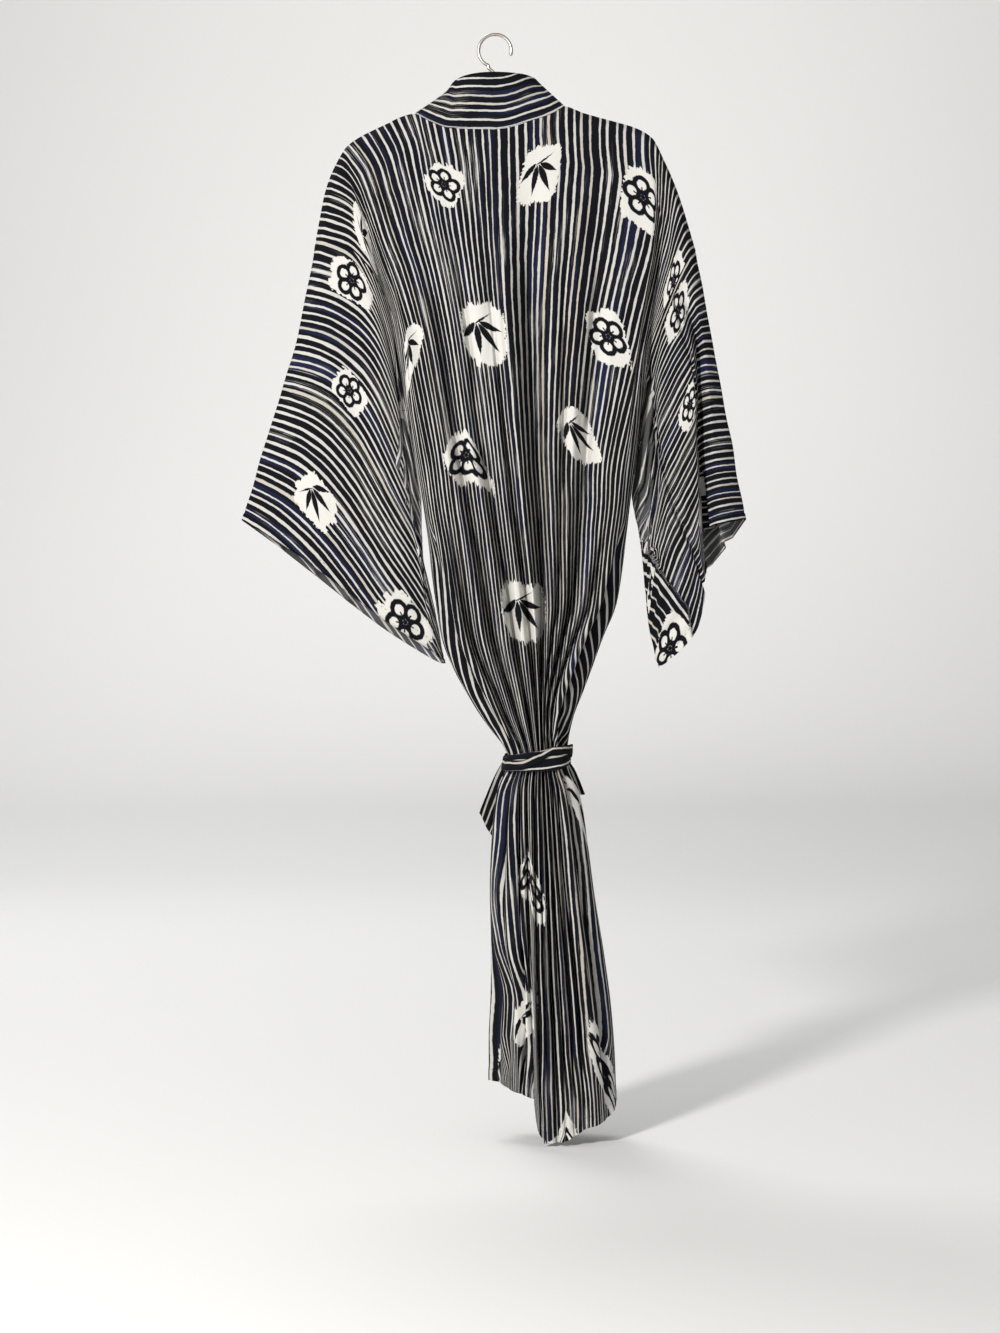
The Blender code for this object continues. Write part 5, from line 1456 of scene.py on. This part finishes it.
def band_uv(points, closed=False):
    """Across a band and along it, in metres of cloth; rows go across it."""
    line = joined(points) if closed else points
    along, reach = across_the_cloth(line).mean(axis=0), down_the_cloth(line)
    return np.stack((reach - reach[-1:] / 2, np.broadcast_to(along, reach.shape)), 2)


def sash_lap(name, edges, clear, seed):
    """One lap of the sash round the gathered waist."""
    going = (0.0, 0.25, 0.48, STRAIGHT, 0.76, 0.82, 0.88, 0.94)
    coming = (1.0, *going[:0:-1])
    round_trip = [(side, face, place)
                  for side, face, quarter in ((1, -1, going), (1, 1, coming),
                                              (-1, 1, going), (-1, -1, coming))
                  for place in quarter]
    line = []
    for index, (side, face, place) in enumerate(round_trip):
        top, bottom = row_at(edges, index / len(round_trip))
        level = clear + BAND
        if face > 0:
            level += LAYER * ease((1 - place) / 0.12)
        line.append([body_point(side, face, place, top + (bottom - top) * share, level)
                     for share in (0.0, 0.5, 1.0)])
    padded = np.array(line[-3:] + line + line[:4])
    at = np.linspace(0, len(line), SASH_ROUND, endpoint=False) + 3
    grid = finer_grid(padded, at, np.linspace(0, 2, SASH_WIDE)).transpose(1, 0, 2)
    uv = band_uv(grid, True)
    u, v = uv[:, :-1, 0], uv[:, :-1, 1]
    round_edge = 0.0007 * np.abs(np.linspace(-1, 1, SASH_WIDE))[:, None] ** 4
    wave = ripple(v, u * 3, 0.045, 4.0, seed) * 0.0004
    points = grid - outward(grid) * (round_edge + np.abs(wave))[..., None]
    piece = tie(name, points, uv, None, closed=True)
    return piece


sash_lap("cloth_sash_inner_lap", SASH_INNER, SASH_CLEAR, 41)
sash_lap("cloth_sash_outer_lap", SASH_OUTER, SASH_CLEAR + BAND + LAP_GAP, 43)

grid = []
for share in np.linspace(-1, 1, 21):
    angle = np.linspace(0, 2 * math.pi, 72, endpoint=False)
    y, z = np.cos(angle), np.sin(angle)
    size = (np.abs(y) ** 3 + np.abs(z) ** 3) ** (-1 / 3)
    size = size * (1 - 0.12 * (1 - share * share))  # pinched in the middle
    size = size * (1 - 0.05 * np.exp(-((share - 0.25 * z) / 0.12) ** 2))  # and creased
    grid.append(np.stack((share * KNOT_REACH * (1 + 0.1 * z), y * size * KNOT_DEPTH,
                          z * size * KNOT_HEIGHT), 1))
grid = np.array(grid) + KNOT_MIDDLE
wrap = tie("cloth_sash_knot", grid, band_uv(grid, True), None, closed=True)


def ribbon(name, table, turn=0.0, ahead=0.0, seed=0, askew=0.0):
    """A hanging band along a path; with a turn it folds round at its end and comes back."""
    steps = 7
    path = curve(np.linspace(0, 1, steps), np.linspace(0, 1, len(table)), table)
    spots = path[:, :3]
    along = np.gradient(spots, axis=0) * (1, 0, 1)
    along /= np.linalg.norm(along, axis=1, keepdims=True)
    slant = askew * (np.arange(steps) / (steps - 1)) ** 2
    widths = (np.cross(along, (0, 1, 0)) + along * slant[:, None]) * path[:, 3:]
    rows = list(zip(spots, widths))
    if turn:
        end, wide, last = spots[-1], widths[-1], along[-1]
        for angle in (math.pi / 4, math.pi / 2, 3 * math.pi / 4):
            shift = last * math.sin(angle) + np.array((0, 1, 0)) * (1 - math.cos(angle))
            rows.append((end + shift * turn, wide))
        for i in range(steps - 1, -1, -1):
            open_by = 2 * turn + ahead * math.sin(math.pi * i / (steps - 1))
            if i < 2:
                open_by = 2 * turn * (0.6 + 0.2 * i)
            rows.append((spots[i] + np.array((0, open_by, 0)), widths[i]))
    grid = np.array([[centre + wide * share for share in np.linspace(-1, 1, SASH_WIDE)]
                     for centre, wide in rows])
    grid = finer(grid, np.linspace(0, len(grid) - 1, 12 * len(grid)))
    uv = band_uv(grid.transpose(1, 0, 2)).transpose(1, 0, 2)
    normals = grid_normals(grid)
    towards = normals[:len(grid) // 3].mean(axis=(0, 1))
    towards = towards if (towards[1] > 0) != bool(turn) else -towards
    wave = ripple(uv[..., 0] * 2, uv[..., 1], 0.05, 2.0, seed) * 0.0009
    piece = tie(name, grid + normals * wave[..., None], uv, towards)


for side, word in SIDES:
    long, askew = (0.22, 0.85) if side < 0 else (0.143, 0.3)
    ribbon("cloth_sash_ear_" + word, EARS[side], EAR_TURN, 0.004, 51 + side, askew)
    ribbon("cloth_sash_tail_" + word, TAILS[side], seed=61 + side)


# ---- Stitching -----------------------------------------------------------------------------
# Running stitches of indigo cotton thread, sewn by hand, that hold the turned-up hems, the cuffs
# and the foot of the collar. Only their upper halves show.

STITCH_EVERY = 0.0068
STITCH_LONG = 0.003
STITCH_RISE = (-0.0003, 0.0004, 0.0004, -0.0003)  # from one hole to the next
THREAD = 0.00028  # radius of the thread


def cotton_thread():
    material, shader, place = new_finish("cotton_thread")
    twist = place.scaled(2600, 2600, 900).noise(2)
    feed(shader, "Base Color", twist.mixed((0.012, 0.015, 0.035, 1), (0.03, 0.034, 0.06, 1)))
    feed(shader, "Roughness", twist * 0.15 + 0.7)
    return material


dice = np.random.default_rng(12)
thread_points, thread_faces = [], []
for line, outwards in sewn_lines:
    run = down_the_cloth(line[:, None])[:, 0]
    starts = np.arange(STITCH_EVERY / 2, run[-1] - STITCH_EVERY / 2, STITCH_EVERY)
    starts = starts + dice.uniform(-0.0006, 0.0006, len(starts))
    for start in starts:
        path = read(start + STITCH_LONG * np.linspace(0, 1, 4), run, line)
        up = read(start, run, outwards)
        up = up / np.linalg.norm(up)
        along = path[-1] - path[0]
        aside = np.cross(along / max(np.linalg.norm(along), 1e-6), up)
        path = path + np.outer(STITCH_RISE, up)
        first_point = 3 * len(thread_points)
        for spot in path:
            thread_points.append([spot + THREAD * (up * math.cos(a) + aside * math.sin(a))
                                  for a in (0, 2.094, 4.189)])
        for ring in range(3):
            low = first_point + 3 * ring
            thread_faces += [(low + i, low + (i + 1) % 3, low + 3 + (i + 1) % 3, low + 3 + i)
                             for i in range(3)]
stitches = lay_mesh("sewing_thread", np.reshape(thread_points, (-1, 3)), thread_faces,
                    [cotton_thread()])
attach(stitches, "root")


# ---- Studio --------------------------------------------------------------------------------
# A seamless sweep of pale paper under the robe that rises well behind it. A soft window light
# comes from the front left, and two soft lights brighten the floor and the wall behind.

FLOOR_Z = -1.3765
SWEEP_BEND = 3.4  # the paper starts to rise this far behind the robe
SWEEP_RADIUS = 5.0


def sweep_paper():
    material, shader, place = new_finish("sweep_paper")
    tone = place.scaled(0.6, 0.6, 0.6).noise(2)
    feed(shader, "Base Color", tone.mixed((0.82, 0.815, 0.8, 1), (0.85, 0.845, 0.83, 1)))
    feed(shader, "Roughness", place.scaled(40, 40, 40).noise(2) * 0.1 + 0.85)
    return material


turn = np.linspace(0, math.pi / 2, 24)
profile = [(-8.0, FLOOR_Z),
           *((SWEEP_BEND + SWEEP_RADIUS * math.sin(a), FLOOR_Z + SWEEP_RADIUS * (1 - math.cos(a)))
             for a in turn),
           (SWEEP_BEND + SWEEP_RADIUS, 9.0)]
sweep = np.array([[(x, y, z) for x in (-9.0, 9.0)] for y, z in profile])
index = np.arange(sweep.shape[0] * 2).reshape(-1, 2)
faces = np.stack((index[:-1, 0], index[:-1, 1], index[1:, 1], index[1:, 0]), 1)
floor = lay_mesh("sweep", sweep.reshape(-1, 3), faces, [sweep_paper()])

world = bpy.data.worlds.new("studio")
world.use_nodes = True
background = world.node_tree.nodes["Background"].inputs
background["Color"].default_value = (0.97, 0.98, 1.0, 1)
background["Strength"].default_value = 0.38
bpy.context.scene.world = world


def soft_light(name, place, aim, size, power, colour):
    data = bpy.data.lights.new(name, "AREA")
    data.shape, data.size, data.energy, data.color = "DISK", size, power, colour
    light = put(name, data)
    light.location = place
    away = np.array(place) - np.array(aim)
    light.rotation_euler = (math.atan2(math.hypot(away[0], away[1]), away[2]), 0,
                            math.atan2(away[0], -away[1]))


soft_light("window", (-1.8, -3.25, 0.6), (0.0, 0.0, -0.7), 0.5, 148, (1.0, 0.985, 0.96))
soft_light("overhead", (-1.1, 2.3, 2.4), (-1.0, 2.5, -1.37), 1.8, 74, (1.0, 1.0, 1.0))
soft_light("wall_wash", (0.1, 2.7, 2.3), (0.0, 7.0, 4.6), 2.4, 175, (1.0, 0.99, 0.97))

lens = bpy.data.cameras.new("camera")
lens.sensor_fit = "HORIZONTAL"
lens.sensor_width = 36.0
lens.lens = 86.4
camera = put("camera", lens)
camera.location = (0.00625, -3.0, -0.788)
camera.rotation_euler = (math.pi / 2, 0, 0)
bpy.context.scene.camera = camera
bpy.context.scene.view_settings.view_transform = "Standard"
